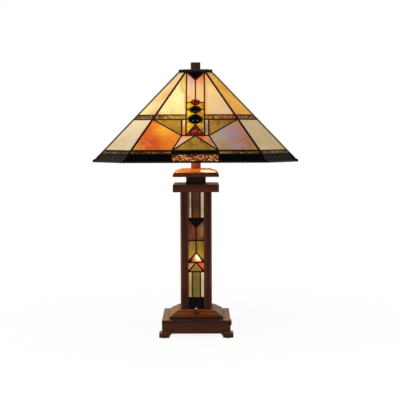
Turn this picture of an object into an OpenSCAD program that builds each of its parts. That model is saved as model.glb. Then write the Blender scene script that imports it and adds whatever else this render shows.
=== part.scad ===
// Table lamp: an octagonal leaded glass shade on a square wooden column with four lit
// glass windows, standing on a stepped wooden base with a rotary switch.
// Millimetres, +Z up, front at -Y, origin on the table under the middle of the lamp.

/* [Base] */
// Width of the square base box
box_w = 151.6; // [146:0.2:158]
// Height of the box sides
box_h = 29.4; // [26:0.2:36]
// Thickness of the box sides
rail_t = 14; // [12:0.5:16]
// Thickness of the board that closes the top of the box
box_top_t = 8; // [6:0.5:10]
// Thickness of the board that closes the bottom of the box
bottom_t = 3.2; // [2.4:0.2:4.4]
// How far the bottom board reaches into the box sides
bottom_rebate = 7; // [6.5:0.5:9]
// Clear height between the table and the box, felt included
foot_h = 9.7; // [7:0.1:14]
// Width of a foot at the table
foot_w = 23; // [18:0.5:28]
// How far a foot stands out past the box
foot_out = 6; // [4:0.5:8]
// Height of the foot's lip round the corner of the box
foot_lip = 2.4; // [1.6:0.2:5]
// Size of the 45 degree slant on a foot's inner sides
foot_slant = 4.3; // [2:0.1:5]
// Thickness of the felt pads
pad_t = 1.5; // [1:0.1:2.5]
// Diameter of the felt pads
pad_d = 16; // [12:0.5:18]

/* [Plinth] */
// Width of the hipped plinth block
plinth_w = 119.4; // [112:0.2:124]
// Width of the plinth's flat top
plinth_top_w = 81.4; // [76:0.2:90]
// Height of the plinth's upright edge
plinth_edge_h = 5.2; // [3:0.1:8]
// Height of the plinth's sloping part
plinth_slope_h = 11.9; // [9:0.1:15]

/* [Column] */
// Width of the square column
column_w = 70.2; // [64:0.2:76]
// Height of the column
column_h = 264.7; // [240:0.1:290]
// Width of one corner post
post_w = 18; // [14:0.25:19]
// Bevel on the outer corner of a post
post_bevel = 1.6; // [0.6:0.1:3]
// Depth of the windows behind the faces of the posts
window_recess = 6; // [4:0.25:8]
// Depth of the groove that holds a window
groove_d = 2; // [1.4:0.1:3]
// Play of a window in its groove, at each face
groove_play = 0.2; // [0.1:0.05:0.4]

/* [Column window pattern] */
// Distance of the upright lines from the middle of a window
strip_x = 9.4; // [8:0.1:12]
// Height of the black glass at the foot of a window
w_foot = 25.9; // [15:0.5:35]
// Height of the tall green row above it
w_green = 58.7; // [50:0.5:65]
// Height of the row of three triangles
w_tris = 21.2; // [16:0.5:26]
// Height of the lit triangle
w_flame = 22; // [16:0.5:28]
// Height of the row of olive glass, lit triangle included
w_olive = 49.5; // [42:0.5:54]
// Height of the row of red slag glass, black triangle included
w_slag = 49.8; // [44:0.5:56]
// Height of the black triangle that points down
w_dart = 21; // [15:0.5:27]

/* [Capital] */
// Width of the capital slabs
slab_w = 102.4; // [94:0.2:108]
// Thickness of the lower slab
abacus_h = 17; // [12:0.5:19]
// Width of the dark block between the slabs
neck_w = 44.2; // [36:0.2:50]
// Height of the dark block between the slabs
neck_h = 16.8; // [15:0.2:24]
// Height of the upright edge of the upper slab
capital_edge_h = 5.2; // [3:0.1:6]
// Width of the upper slab above its bevel
capital_mid_w = 96.8; // [90:0.2:100]
// Height of the upper slab's bevel
capital_bevel_h = 4.8; // [3:0.1:7]
// Width of the upper slab's flat top
capital_top_w = 63.8; // [56:0.2:70]
// Height of the upper slab's slope
capital_slope_h = 6.6; // [6:0.1:12]
// Width of the post that carries the lights
stem_w = 21.8; // [18:0.1:24]
// Height of the post that carries the lights
stem_h = 47.2; // [38:0.2:52]
// Length of the riser below the nut that clamps the capital
riser_tail = 6; // [3:0.5:12]

/* [Shade] */
// Height of the rim above the flat top of the capital
rim_gap = 20; // [10:0.2:24]
// Width of the shade across its flats at the rim
shade_w = 432; // [415:1:450]
// Width of one patterned panel at the rim
panel_w = 298.6; // [285:0.2:308]
// Width of the shade across its flats at the top
shade_top_w = 73.8; // [68:0.2:84]
// Width of one patterned panel at the top
panel_top_w = 44.4; // [43:0.2:50]
// Height of the shade from rim to cap
shade_rise = 195.2; // [185:0.2:215]
// Thickness of the lead came
came_t = 3.6; // [3:0.1:4.4]
// Width of a came line between two pieces of glass
came_w = 3; // [2.2:0.1:3.6]
// Thickness of the glass
glass_t = 2.6; // [2:0.1:3]
// Reach of the soldered fold seams into each panel
seam_w = 1.6; // [1.4:0.05:2.2]
// Came left on a panel beside its seam, measured like a came line's half
seam_edge = 1.2; // [0.8:0.1:2]
// Height of the rim band up the slope
rim_band = 4.2; // [4:0.1:6]
// How far the rim band stands out from the panels
rim_proud = 0.7; // [0.3:0.1:1.2]
// Thickness of the cap plate
cap_t = 5.6; // [3.6:0.2:8]
// Overhang of the cap plate past the panels
cap_over = 0.9; // [0.4:0.1:3]

/* [Shade pattern, measured up the slope from the rim] */
// Half width of the middle column of glass
mid_u = 19.5; // [18:0.1:20]
// Distance of the outer edge of the narrow side strips from the middle
strip_u = 28.5; // [26:0.1:32]
// Half width of the foot of the lower triangle
foot_u = 48.5; // [42:0.5:56]
// Top of the dark border
border_s = 24; // [20:0.5:27]
// Top of the thin strip over the border
skirt_s = 33.5; // [31:0.5:37]
// Foot of the red triangle
fan_s = 75.5; // [68:0.5:82]
// Tip of the red triangle
red_tip_s = 106.5; // [102:0.5:107]
// Lower line of the cross band
band_lo_s = 121.5; // [119:0.5:123]
// Upper line of the cross band
band_hi_s = 134.5; // [132:0.5:138]
// Tip of the black triangle under the cap
dart_tip_s = 238.7; // [225:0.5:245]
// Height of the lowest jewel, the largest
jewel_low_s = 122; // [121:0.5:123]
// Radius of the lowest jewel
jewel_low_r = 11.6; // [10:0.1:12]
// Height of the middle jewel
jewel_mid_s = 150.3; // [149:0.1:151.5]
// Radius of the middle jewel
jewel_mid_r = 8.6; // [7:0.1:9.2]
// Height of the top jewel, the smallest
jewel_top_s = 171.5; // [170.5:0.1:174]
// Radius of the top jewel
jewel_top_r = 6.6; // [5:0.1:7]
// Width of the came round a jewel
jewel_came = 1.8; // [1.2:0.1:2.2]

/* [Lights] */
// Outer diameter of the threaded riser tube
riser_d = 9.5; // [8:0.1:10.4]
// Bore of the riser tube
riser_bore = 6; // [4:0.1:7]
// Radial play of the cap plate on the riser
cap_play = 0.4; // [0.2:0.05:0.6]
// Width of a hexagon nut across its flats
nut_w = 15; // [13:0.5:18]
// Height of a hexagon nut
nut_h = 6; // [4:0.5:8]
// Diameter of the washer under the cap plate
seat_d = 30; // [24:0.5:36]
// Thickness of the washer under the cap plate
seat_t = 2; // [1.5:0.1:3]
// Diameter of the hub that carries the upper sockets
hub_d = 27; // [24:0.5:30]
// Diameter of the plate under the hub
hub_plate_d = 38; // [32:0.5:44]
// Thickness of the plate under the hub
hub_plate_t = 3; // [2:0.1:4]
// Height of the sockets' crossing point over the foot of the hub
hub_rise = 16; // [14:0.5:18]
// Height of the hub above that crossing point
hub_head = 9; // [7:0.5:11]
// Diameter of the arms that hold the upper sockets
arm_d = 12; // [10:0.5:14]
// Outer diameter of an upper lamp socket
socket_d = 31; // [29:0.2:33]
// Length of an upper lamp socket
socket_l = 30; // [26:0.5:34]
// Distance of an upper socket's foot from the middle of the hub
socket_out = 26; // [25:0.5:30]
// Upward tilt of the upper sockets
socket_tilt = 45; // [40:1:50]
// Diameter of an upper bulb's screw base
bulb_base_d = 26.4; // [26:0.1:26.8]
// Diameter of an upper bulb's globe
bulb_d = 46; // [40:0.5:48]
// Length of an upper bulb's glass
bulb_l = 58; // [52:0.5:62]
// Radial play of a bulb in its socket
bulb_play = 0.3; // [0.2:0.05:0.5]
// Thickness of a socket's floor
socket_back = 4; // [3:0.5:5]
// Height of the night light's filament above the plinth
night_z = 118; // [100:1:128]
// Diameter of the night light bulb
night_d = 22; // [18:0.5:26]
// Length of the night light bulb's glass
night_glass_l = 40; // [34:0.5:46]
// Height of the night light's filament above the foot of its socket
night_drop = 46; // [44:0.5:50]
// Length of the night light's socket
night_socket_l = 24; // [20:0.5:28]
// Diameter of the night light bulb's screw base
night_base_d = 12; // [11:0.5:14]
// Outer diameter of the tube for the upper lights' wires
conduit_d = 6; // [5:0.5:7]
// Wall of that tube
conduit_wall = 1; // [0.6:0.1:1.4]
// Distance of that tube's middle from the inner sides of the posts
conduit_in = 4.6; // [4:0.1:6]
// Depth of that tube in the lower slab
conduit_seat = 8; // [4:0.5:12]

/* [Finial] */
// Width of the wooden finial block
finial_w = 21.6; // [18:0.2:25]
// Height of the wooden finial block
finial_h = 17; // [14:0.5:22]
// Outer diameter of the brass insert in the finial
insert_d = 14; // [12.5:0.5:16]
// Length of the brass insert in the finial
insert_h = 11; // [9.5:0.5:13]
// Radial play of the insert on the riser
insert_play = 0.08; // [0.04:0.01:0.1]
// Length of the riser inside the finial
riser_end = 9; // [6:0.5:9.4]

/* [Switch and cord inlet] */
// Diameter of the switch body
switch_d = 23; // [20:0.5:25]
// Length of the switch body
switch_l = 16; // [13:0.5:18]
// Diameter of the switch's threaded neck
switch_neck_d = 7.5; // [6.5:0.1:9]
// Thickness of the wood under the switch nut
switch_wall = 9; // [8:0.5:11]
// Diameter of the turned knob's ball
knob_d = 9.4; // [7:0.1:11]
// Distance of the ball's middle from the plinth's slope
knob_out = 12.6; // [11.5:0.1:15]
// Diameter of the shaft that the knob turns
shaft_d = 3.2; // [2.6:0.1:4]
// Radial play of the shaft in the switch's neck
shaft_play = 0.05; // [0.02:0.01:0.08]
// Diameter of the round nut on the plinth's slope
switch_nut_d = 12; // [11:0.5:14]
// Thickness of that nut
switch_nut_h = 1.6; // [1.2:0.1:2.4]
// Length of the switch's neck above that nut
switch_neck_out = 0.8; // [0.4:0.1:1.6]
// Radius of the knob's collar
collar_r = 4; // [3.4:0.1:4.6]
// Radius of the waist between collar and ball
waist_r = 2.2; // [1.8:0.1:2.8]
// Gap between the switch's neck and the knob's collar
knob_gap = 0.3; // [0.2:0.05:0.5]
// Bore of the cord inlet in the back of the box
inlet_bore = 8; // [7.5:0.1:9]
// Outer diameter of the cord inlet's sleeve
inlet_d = 12; // [11:0.1:13]
// Reach of the cord inlet's flange past its sleeve
inlet_flange = 3; // [2:0.5:4]
// Thickness of the cord inlet's flange
inlet_flange_t = 2; // [1.5:0.1:3]

/* [Hidden] */
$fn = 64;
far = 600;

// Heights of the stack, from the table up
box_z = foot_h;
plinth_z = box_z + box_h;
column_z = plinth_z + plinth_edge_h + plinth_slope_h;
abacus_z = column_z + column_h;
neck_z = abacus_z + abacus_h;
capital_z = neck_z + neck_h;
capital_h = capital_edge_h + capital_bevel_h + capital_slope_h;
stem_z = capital_z + capital_h;
hub_z = stem_z + stem_h;
rim_z = stem_z + rim_gap;
cap_z = rim_z + shade_rise;
finial_z = cap_z + cap_t;

// Shade geometry: the flats lie rim_r from the axis, the corner panels corner_r
rim_r = shade_w / 2;
top_r = shade_top_w / 2;
corner_r = (rim_r + panel_w / 2) / sqrt(2);
corner_top_r = (top_r + panel_top_w / 2) / sqrt(2);
corner_w = sqrt(2) * (rim_r - panel_w / 2);
corner_top_w = sqrt(2) * (top_r - panel_top_w / 2);
slope_a = atan2(shade_rise, rim_r - top_r);
corner_a = atan2(shade_rise, corner_r - corner_top_r);
slope_l = shade_rise / sin(slope_a);
corner_l = shade_rise / sin(corner_a);
top_line = 1;
foot_line = 1;
recess = (came_t - glass_t) / 2;

// A fold seam runs up from fold_a to fold_b, between two panels with normals n_flat and n_corner
fold_a = [panel_w / 2, -rim_r, rim_z];
fold_b = [panel_top_w / 2, -top_r, cap_z];
fold_dir = (fold_b - fold_a) / norm(fold_b - fold_a);
n_flat = [0, -sin(slope_a), cos(slope_a)];
n_corner = [sin(corner_a) / sqrt(2), -sin(corner_a) / sqrt(2), cos(corner_a)];
fold_mid = (n_flat + n_corner) / norm(n_flat + n_corner);
fold_side = cross(fold_mid, fold_dir);
fold_half = acos(n_flat * n_corner) / 2;

// The jewels of one panel, as [height up the slope, radius]
JEWELS = [
    [jewel_low_s, jewel_low_r],
    [jewel_mid_s, jewel_mid_r],
    [jewel_top_s, jewel_top_r]
];
jewel_dome = 0.42;
jewel_back = 0.2;

// Column window, measured from the middle of its foot
window_in = column_w / 2 - window_recess;
window_half = column_w / 2 - post_w;
window_y = [
    0,
    w_foot,
    w_foot + w_green,
    w_foot + w_green + w_tris,
    w_foot + w_green + w_tris + w_olive,
    w_foot + w_green + w_tris + w_olive + w_slag,
    column_h
];

// Lights
hub_mid_z = hub_z + hub_rise;
night_riser_top = column_z + night_z - night_drop;
conduit_xy = window_half - conduit_in;

// The switch stands square on the plinth's front slope, at its middle
switch_lean = atan2(plinth_slope_h, (plinth_w - plinth_top_w) / 2);
switch_y = -(plinth_w + plinth_top_w) / 4;
switch_z = plinth_z + plinth_edge_h + plinth_slope_h / 2;
switch_neck_top = switch_nut_h + switch_neck_out;
switch_room = 1;
shaft_foot = -switch_wall - switch_l / 2;
inlet_z = box_z + bottom_t + (box_h - bottom_t - box_top_t) / 2;
screw_d = 3;
screw_l = 10;
screw_head_d = 6;
screw_head_h = 1.6;
screw_line = box_w / 2 - rail_t + bottom_rebate / 2;
screw_x = box_w / 4;

// ---- Helpers ----

// Unit normal to the left of the way from a to b
function left_of(a, b) = [a[1] - b[1], b[0] - a[0]] / norm(b - a);

// Corner b of a polygon, moved in by d from both of its edges
function inset_corner(a, b, c, d) =
    let (n1 = left_of(a, b), n2 = left_of(b, c)) b + d * (n1 + n2) / (1 + n1 * n2);

// A convex polygon, listed anticlockwise, moved in by d all round
function inset(p, d) =
    let (n = len(p))
    [for (i = [0:n - 1]) inset_corner(p[(i + n - 1) % n], p[i], p[(i + 1) % n], d)];

// The same polygon on the other side of the middle line
function mirrored(p) = [for (i = [len(p) - 1:-1:0]) [-p[i][0], p[i][1]]];

// Half width at height s of a panel whose foot, top and slope are given, less a strip d wide
function half_at(foot, top, slope, s, d) =
    foot / 2 - (foot - top) / 2 * s / slope - d / cos(atan2((foot - top) / 2, slope));

// A four-sided strip of such a panel between heights s1 and s2
function strip_of(foot, top, slope, s1, s2, d) = [
    [-half_at(foot, top, slope, s1, d), s1],
    [half_at(foot, top, slope, s1, d), s1],
    [half_at(foot, top, slope, s2, d), s2],
    [-half_at(foot, top, slope, s2, d), s2]
];

// Square slab with hipped edges, drawn from half profiles listed as [half width, height]
module hipped(profile) {
    outline = concat(profile, mirrored(profile));
    reach = 2 * profile[0][0] + 2;
    intersection() {
        rotate([90, 0, 0]) linear_extrude(reach, center = true) polygon(outline);
        rotate([90, 0, 90]) linear_extrude(reach, center = true) polygon(outline);
    }
}

module four_sides() {
    for (k = [0:3]) rotate([0, 0, 90 * k]) children();
}

module four_corners(x) {
    for (k = [0:3]) rotate([0, 0, 90 * k]) translate([x, x, 0]) children();
}

// Places a drawing on the outer face of patterned panel k, 0 being the front
module on_panel(k) {
    rotate([0, 0, 90 * k]) translate([0, -rim_r, rim_z]) rotate([slope_a, 0, 0]) children();
}

// Places a drawing on the outer face of corner panel k, 0 being front right
module on_corner(k) {
    rotate([0, 0, 90 * k + 45]) translate([0, -corner_r, rim_z]) rotate([corner_a, 0, 0])
        children();
}

// Keeps only what lies between rim and cap
module between_rim_and_cap() {
    difference() {
        children();
        translate([-far / 2, -far / 2, rim_z - far]) cube(far);
        translate([-far / 2, -far / 2, cap_z]) cube(far);
    }
}

// ---- Shade pattern ----

function u_at(s) = half_at(panel_w, panel_top_w, slope_l, s, seam_w + seam_edge - came_w / 2);
function cu_at(s) = half_at(corner_w, corner_top_w, corner_l, s, seam_w + seam_edge - came_w / 2);
foot_s = rim_band + foot_line - came_w / 2;
crown_s = slope_l - top_line;
// Where the seam line would meet the line of the middle column
cream_tip_s = slope_l * (panel_w / 2 - mid_u - (panel_w / 2 - u_at(0)))
    / ((panel_w - panel_top_w) / 2);

// Corner panels take their heights from the patterned panels, so that the lines meet
function to_corner(s) = s * sin(slope_a) / sin(corner_a);

// Right-hand pieces of a patterned panel by kind of glass; the left ones mirror them
function right_pieces(kind) =
    kind == "cream" ? [
        [[mid_u, fan_s], [strip_u, fan_s], [strip_u, band_lo_s], [mid_u, band_lo_s]]
    ] :
    kind == "band" ? [
        [[mid_u, band_lo_s], [u_at(band_lo_s), band_lo_s],
         [u_at(band_hi_s), band_hi_s], [mid_u, band_hi_s]],
        [[foot_u, border_s], [u_at(border_s), border_s],
         [u_at(skirt_s), skirt_s], [foot_u, skirt_s]]
    ] :
    kind == "olive" ? [
        [[strip_u, fan_s], [u_at(band_lo_s), band_lo_s], [strip_u, band_lo_s]]
    ] :
    kind == "orange_slag" ? [
        [[strip_u, fan_s], [foot_u, skirt_s], [u_at(skirt_s), skirt_s],
         [u_at(band_lo_s), band_lo_s]]
    ] :
    kind == "pink" ? [
        [[0, fan_s], [foot_u, skirt_s], [strip_u, fan_s]]
    ] :
    kind == "border" ? [
        [[foot_u, foot_s], [u_at(foot_s), foot_s], [u_at(border_s), border_s], [foot_u, border_s]]
    ] : [];

// Pieces that lie across the middle line
function middle_pieces(kind) =
    kind == "red" ? [[[-mid_u, fan_s], [mid_u, fan_s], [0, red_tip_s]]] :
    kind == "olive" ? [[[-foot_u, skirt_s], [foot_u, skirt_s], [0, fan_s]]] :
    kind == "black" ? [
        [[-foot_u, border_s], [foot_u, border_s], [foot_u, skirt_s], [-foot_u, skirt_s]],
        [[0, dart_tip_s], [mid_u, crown_s], [-mid_u, crown_s]]
    ] :
    kind == "confetti" ? [
        [[-foot_u, foot_s], [foot_u, foot_s], [foot_u, border_s], [-foot_u, border_s]]
    ] : [];

// Right-hand pieces that the round jewels bite into
function bitten_pieces(kind) =
    kind == "gold" ? [
        [[0, red_tip_s], [mid_u, fan_s], [mid_u, jewel_low_s], [0, jewel_low_s]],
        [[0, jewel_low_s], [mid_u, jewel_low_s], [mid_u, jewel_mid_s], [0, jewel_mid_s]],
        [[0, jewel_mid_s], [mid_u, jewel_mid_s], [mid_u, jewel_top_s], [0, jewel_top_s]]
    ] :
    kind == "pink" ? [
        [[0, jewel_top_s], [mid_u, jewel_top_s], [mid_u, crown_s], [0, dart_tip_s]]
    ] : [];

KINDS = [
    "cream", "band", "olive", "orange_slag", "pink", "border", "red", "black", "confetti", "gold"
];

// The outlines of one kind's glass on a patterned panel
module panel_glass(kind) {
    for (p = right_pieces(kind)) {
        polygon(inset(p, came_w / 2));
        polygon(inset(mirrored(p), came_w / 2));
    }
    for (p = middle_pieces(kind)) polygon(inset(p, came_w / 2));
    for (p = bitten_pieces(kind), side = [0, 1])
        mirror([side, 0]) difference() {
            polygon(inset(p, came_w / 2));
            for (j = JEWELS) translate([0, j[0]]) circle(j[1] + jewel_came);
        }
    if (kind == "cream")
        for (side = [0, 1])
            mirror([side, 0]) intersection() {
                polygon(inset([[mid_u, band_hi_s], [u_at(band_hi_s), band_hi_s],
                               [mid_u, cream_tip_s]], came_w / 2));
                square([far, crown_s - came_w / 2]);
            }
}

// The outlines of one kind's glass on a corner panel
module corner_glass(kind) {
    rows =
        kind == "cream" ? [
            [to_corner(skirt_s), to_corner(band_lo_s)],
            [to_corner(band_hi_s), corner_l - top_line]
        ] :
        kind == "band" ? [
            [to_corner(band_lo_s), to_corner(band_hi_s)],
            [to_corner(border_s), to_corner(skirt_s)]
        ] :
        kind == "border" ? [[foot_s, to_corner(border_s)]] : [];
    for (r = rows)
        polygon(inset([
            [-cu_at(r[0]), r[0]], [cu_at(r[0]), r[0]], [cu_at(r[1]), r[1]], [-cu_at(r[1]), r[1]]
        ], came_w / 2));
}

module glass_plate() {
    translate([0, 0, -recess - glass_t]) linear_extrude(glass_t) children();
}

// One kind's glass on all the panels that hold it
module shade_glass(kind) {
    for (k = [0:3]) {
        on_panel(k) glass_plate() panel_glass(kind);
        if (kind == "band" || kind == "border") on_corner(k) glass_plate() corner_glass(kind);
    }
}

// ---- Shade ----

module panel_came(k) {
    color([0.16, 0.1, 0.06]) between_rim_and_cap() on_panel(k)
        translate([0, 0, -came_t]) linear_extrude(came_t) difference() {
            polygon(strip_of(panel_w, panel_top_w, slope_l, rim_band, slope_l + came_t, seam_w));
            for (kind = KINDS) panel_glass(kind);
            for (j = JEWELS) translate([0, j[0]]) circle(j[1]);
        }
}

module corner_cames() {
    color([0.16, 0.1, 0.06]) between_rim_and_cap() for (k = [0:3]) on_corner(k)
        translate([0, 0, -came_t]) linear_extrude(came_t) difference() {
            polygon(strip_of(corner_w, corner_top_w, corner_l, rim_band,
                             corner_l + 2 * came_t, seam_w));
            for (kind = ["cream", "band", "border"]) corner_glass(kind);
        }
}

// Eight straight lengths of flat band round the rim, one to a panel
module rim_band() {
    section_t = came_t + 2 * rim_proud;
    color([0.14, 0.09, 0.05]) between_rim_and_cap() for (k = [0:3]) {
        on_panel(k) translate([0, 0, rim_proud - section_t]) linear_extrude(section_t)
            polygon(strip_of(panel_w, panel_top_w, slope_l, -came_t, rim_band, seam_w));
        on_corner(k) translate([0, 0, rim_proud - section_t]) linear_extrude(section_t)
            polygon(strip_of(corner_w, corner_top_w, corner_l, -came_t, rim_band, seam_w));
    }
}

// Section of a fold seam: a wedge between two square-cut panel edges, with a round bead on top
module seam_section() {
    edge = [seam_w * cos(fold_half), -seam_w * sin(fold_half)];
    root = edge - came_t * [sin(fold_half), cos(fold_half)];
    polygon([[0, 0], [-edge[0], edge[1]], [-root[0], root[1]], root, edge]);
    circle(seam_w);
}

// Turns and moves what is drawn round the Z axis onto the fold line
module along_fold() {
    multmatrix([
        [fold_side[0], fold_mid[0], fold_dir[0], fold_a[0]],
        [fold_side[1], fold_mid[1], fold_dir[1], fold_a[1]],
        [fold_side[2], fold_mid[2], fold_dir[2], fold_a[2]],
        [0, 0, 0, 1]
    ]) children();
}

module fold_seams() {
    seam_l = norm(fold_b - fold_a) + 4 * came_t;
    color([0.2, 0.11, 0.06]) between_rim_and_cap() four_sides() for (side = [0, 1])
        mirror([side, 0, 0]) along_fold() translate([0, 0, -2 * came_t])
            linear_extrude(seam_l) seam_section();
}

// Points of an octagon whose flats lie r from the middle, its four main sides w wide
function octagon(r, w) = [
    for (k = [0:3], x = [-w / 2, w / 2])
        [x * cos(90 * k) + r * sin(90 * k), x * sin(90 * k) - r * cos(90 * k)]
];

module shade_cap() {
    bevel = 1.2;
    grow = (sqrt(2) - 1) * 2 * cap_over;
    color([0.12, 0.13, 0.1]) translate([0, 0, cap_z]) difference() {
        linear_extrude(cap_t) polygon(octagon(top_r + cap_over, panel_top_w + grow));
        translate([0, 0, -1]) cylinder(d = riser_d + 2 * cap_play, h = cap_t + 2);
        for (k = [0:3]) rotate([0, 0, 90 * k]) translate([0, -top_r - cap_over, cap_t])
            rotate([45, 0, 0]) cube([far, bevel * sqrt(2), bevel * sqrt(2)], center = true);
    }
}

// Round glass stone: a disc with a high dome in front and a low one behind
module jewel(r) {
    rise = jewel_dome * r;
    back = jewel_back * r;
    front_r = (r * r + rise * rise) / (2 * rise);
    back_r = (r * r + back * back) / (2 * back);
    translate([0, 0, -recess - glass_t]) rotate_extrude() intersection() {
        translate([0, -back]) square([r, glass_t + rise + back]);
        translate([0, glass_t + rise - front_r]) circle(front_r);
        translate([0, back_r - back]) circle(back_r);
    }
}

// The stones with these places in JEWELS, on every patterned panel
module jewels(places) {
    for (k = [0:3], i = places) on_panel(k) translate([0, JEWELS[i][0], 0]) jewel(JEWELS[i][1]);
}

// ---- Finial ----

module finial_block() {
    bevel = 1.4;
    color([0.2, 0.1, 0.07]) translate([0, 0, finial_z]) difference() {
        hipped([
            [finial_w / 2 - bevel / 2, 0], [finial_w / 2, bevel / 2],
            [finial_w / 2, finial_h - bevel], [finial_w / 2 - bevel, finial_h]
        ]);
        translate([0, 0, -1]) cylinder(d = insert_d, h = insert_h + 1);
    }
}

module finial_insert() {
    color([0.75, 0.58, 0.3]) translate([0, 0, finial_z]) difference() {
        cylinder(d = insert_d, h = insert_h);
        translate([0, 0, -1]) cylinder(d = riser_d + 2 * insert_play, h = insert_h + 2);
    }
}

// ---- Lights ----

// Threaded tube that clamps the capital together and carries the shade
module riser_tube() {
    foot = abacus_z - nut_h - riser_tail;
    color([0.72, 0.56, 0.3]) difference() {
        translate([0, 0, foot]) cylinder(d = riser_d, h = finial_z + riser_end - foot);
        translate([0, 0, foot - 1]) cylinder(d = riser_bore, h = far);
    }
}

module hex_nut(bore) {
    difference() {
        cylinder(r = nut_w / sqrt(3), h = nut_h, $fn = 6);
        translate([0, 0, -1]) cylinder(d = bore, h = nut_h + 2);
    }
}

// Nuts under the lower slab, under the shade's seat and on the plinth
module lock_nuts() {
    color([0.7, 0.55, 0.3]) {
        translate([0, 0, abacus_z - nut_h]) hex_nut(riser_d);
        translate([0, 0, cap_z - seat_t - nut_h]) hex_nut(riser_d);
        translate([0, 0, column_z]) hex_nut(riser_d);
    }
}

// Washer that the cap plate rests on
module shade_seat() {
    color([0.72, 0.56, 0.3]) translate([0, 0, cap_z - seat_t]) difference() {
        cylinder(d = seat_d, h = seat_t);
        translate([0, 0, -1]) cylinder(d = riser_d, h = seat_t + 2);
    }
}

// Places a drawing on the axis of the upper socket on one side, 1 for right and -1 for left
module on_socket(side) {
    translate([0, 0, hub_mid_z]) rotate([0, side * (90 - socket_tilt), 0]) children();
}

// Hub on the riser with two arms that carry the upper sockets
module socket_cluster() {
    color([0.72, 0.56, 0.3]) difference() {
        union() {
            translate([0, 0, hub_z]) cylinder(d = hub_plate_d, h = hub_plate_t);
            translate([0, 0, hub_z]) cylinder(d = hub_d, h = hub_rise + hub_head);
            for (side = [-1, 1]) on_socket(side) cylinder(d = arm_d, h = socket_out);
        }
        translate([0, 0, hub_z - 1]) cylinder(d = riser_d, h = far);
    }
}

module upper_sockets() {
    bore = bulb_base_d + 2 * bulb_play;
    color([0.74, 0.58, 0.32]) for (side = [-1, 1]) on_socket(side)
        translate([0, 0, socket_out]) difference() {
            cylinder(d = socket_d, h = socket_l);
            translate([0, 0, socket_back]) cylinder(d = bore, h = socket_l);
        }
}

// Screw base, flared neck and round end of a bulb, standing on its contact
module bulb(base_d, base_l, globe_d, glass_l) {
    lip = 0.4;
    flare_a = 70;
    tip = base_l + glass_l;
    globe_z = tip - globe_d / 2;
    flare = globe_d / 2 * [sin(flare_a), -cos(flare_a)];
    color([0.75, 0.73, 0.68]) cylinder(d = base_d, h = base_l);
    color([1, 0.9, 0.62]) rotate_extrude() {
        intersection() {
            translate([0, globe_z]) circle(d = globe_d);
            translate([0, base_l]) square([globe_d, glass_l]);
        }
        polygon([
            [0, base_l], [base_d / 2 - lip, base_l], [flare[0], globe_z + flare[1]], [0, globe_z]
        ]);
    }
}

module upper_bulb(side) {
    on_socket(side) translate([0, 0, socket_out + socket_back + bulb_play])
        bulb(bulb_base_d, socket_l - socket_back, bulb_d, bulb_l);
}

// Tube that lifts the night light above the black glass
module night_riser() {
    foot = plinth_z - box_top_t;
    color([0.7, 0.55, 0.3]) difference() {
        translate([0, 0, foot]) cylinder(d = riser_d, h = night_riser_top - foot);
        translate([0, 0, foot - 1]) cylinder(d = riser_bore, h = far);
    }
}

module night_socket() {
    bore = night_base_d + 2 * bulb_play;
    color([0.9, 0.88, 0.82]) translate([0, 0, night_riser_top]) difference() {
        cylinder(d = night_d, h = night_socket_l);
        translate([0, 0, socket_back]) cylinder(d = bore, h = night_socket_l);
    }
}

module night_bulb() {
    translate([0, 0, night_riser_top + socket_back + bulb_play])
        bulb(night_base_d, night_socket_l - socket_back, night_d, night_glass_l);
}

// Thin tube that takes the upper lights' wires up one corner of the column
module wire_conduit() {
    foot = plinth_z - box_top_t;
    color([0.6, 0.42, 0.25]) translate([-conduit_xy, conduit_xy, foot]) difference() {
        cylinder(d = conduit_d, h = abacus_z + conduit_seat - foot);
        translate([0, 0, -1]) cylinder(d = conduit_d - 2 * conduit_wall, h = far);
    }
}

// ---- Capital ----

module riser_hole() {
    translate([0, 0, -1]) cylinder(d = riser_d, h = far);
}

module stem_post() {
    color([0.6, 0.26, 0.12]) translate([0, 0, stem_z]) difference() {
        translate([-stem_w / 2, -stem_w / 2, 0]) cube([stem_w, stem_w, stem_h]);
        riser_hole();
    }
}

module capital_slab() {
    bevel_z = capital_edge_h + capital_bevel_h;
    color([0.45, 0.2, 0.1]) translate([0, 0, capital_z]) difference() {
        hipped([
            [slab_w / 2, 0], [slab_w / 2, capital_edge_h], [capital_mid_w / 2, bevel_z],
            [capital_top_w / 2, capital_h]
        ]);
        riser_hole();
    }
}

module neck_block() {
    color([0.14, 0.09, 0.09]) translate([0, 0, neck_z]) difference() {
        translate([-neck_w / 2, -neck_w / 2, 0]) cube([neck_w, neck_w, neck_h]);
        riser_hole();
    }
}

module abacus_slab() {
    ease = 0.8;
    color([0.25, 0.13, 0.09]) translate([0, 0, abacus_z]) difference() {
        hipped([
            [slab_w / 2 - ease, 0], [slab_w / 2, ease],
            [slab_w / 2, abacus_h - ease], [slab_w / 2 - ease, abacus_h]
        ]);
        riser_hole();
        translate([-conduit_xy, conduit_xy, -1]) cylinder(d = conduit_d, h = conduit_seat + 1);
    }
}

// ---- Column ----

// Section of the post at +X -Y, with grooves for the windows on both of its inner sides
module post_section() {
    outer = column_w / 2;
    front = -window_in - groove_play;
    back = -window_in + came_t + groove_play;
    depth = window_half + groove_d;
    difference() {
        polygon([
            [window_half, -outer], [outer - post_bevel, -outer], [outer, -outer + post_bevel],
            [outer, -window_half], [window_half, -window_half]
        ]);
        translate([window_half - 1, front]) square([depth - window_half + 1, back - front]);
        translate([-back, -depth]) square([back - front, depth - window_half + 1]);
    }
}

module column_posts() {
    color([0.25, 0.125, 0.1]) translate([0, 0, column_z]) four_sides()
        linear_extrude(column_h) post_section();
}

// Stands a drawing up as the window on side k, 0 being the front
module on_window(k) {
    rotate([0, 0, 90 * k]) translate([0, -window_in, column_z]) rotate([90, 0, 0]) children();
}

function row(i, x1, x2) = [
    [x1, window_y[i]], [x2, window_y[i]], [x2, window_y[i + 1]], [x1, window_y[i + 1]]
];

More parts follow.
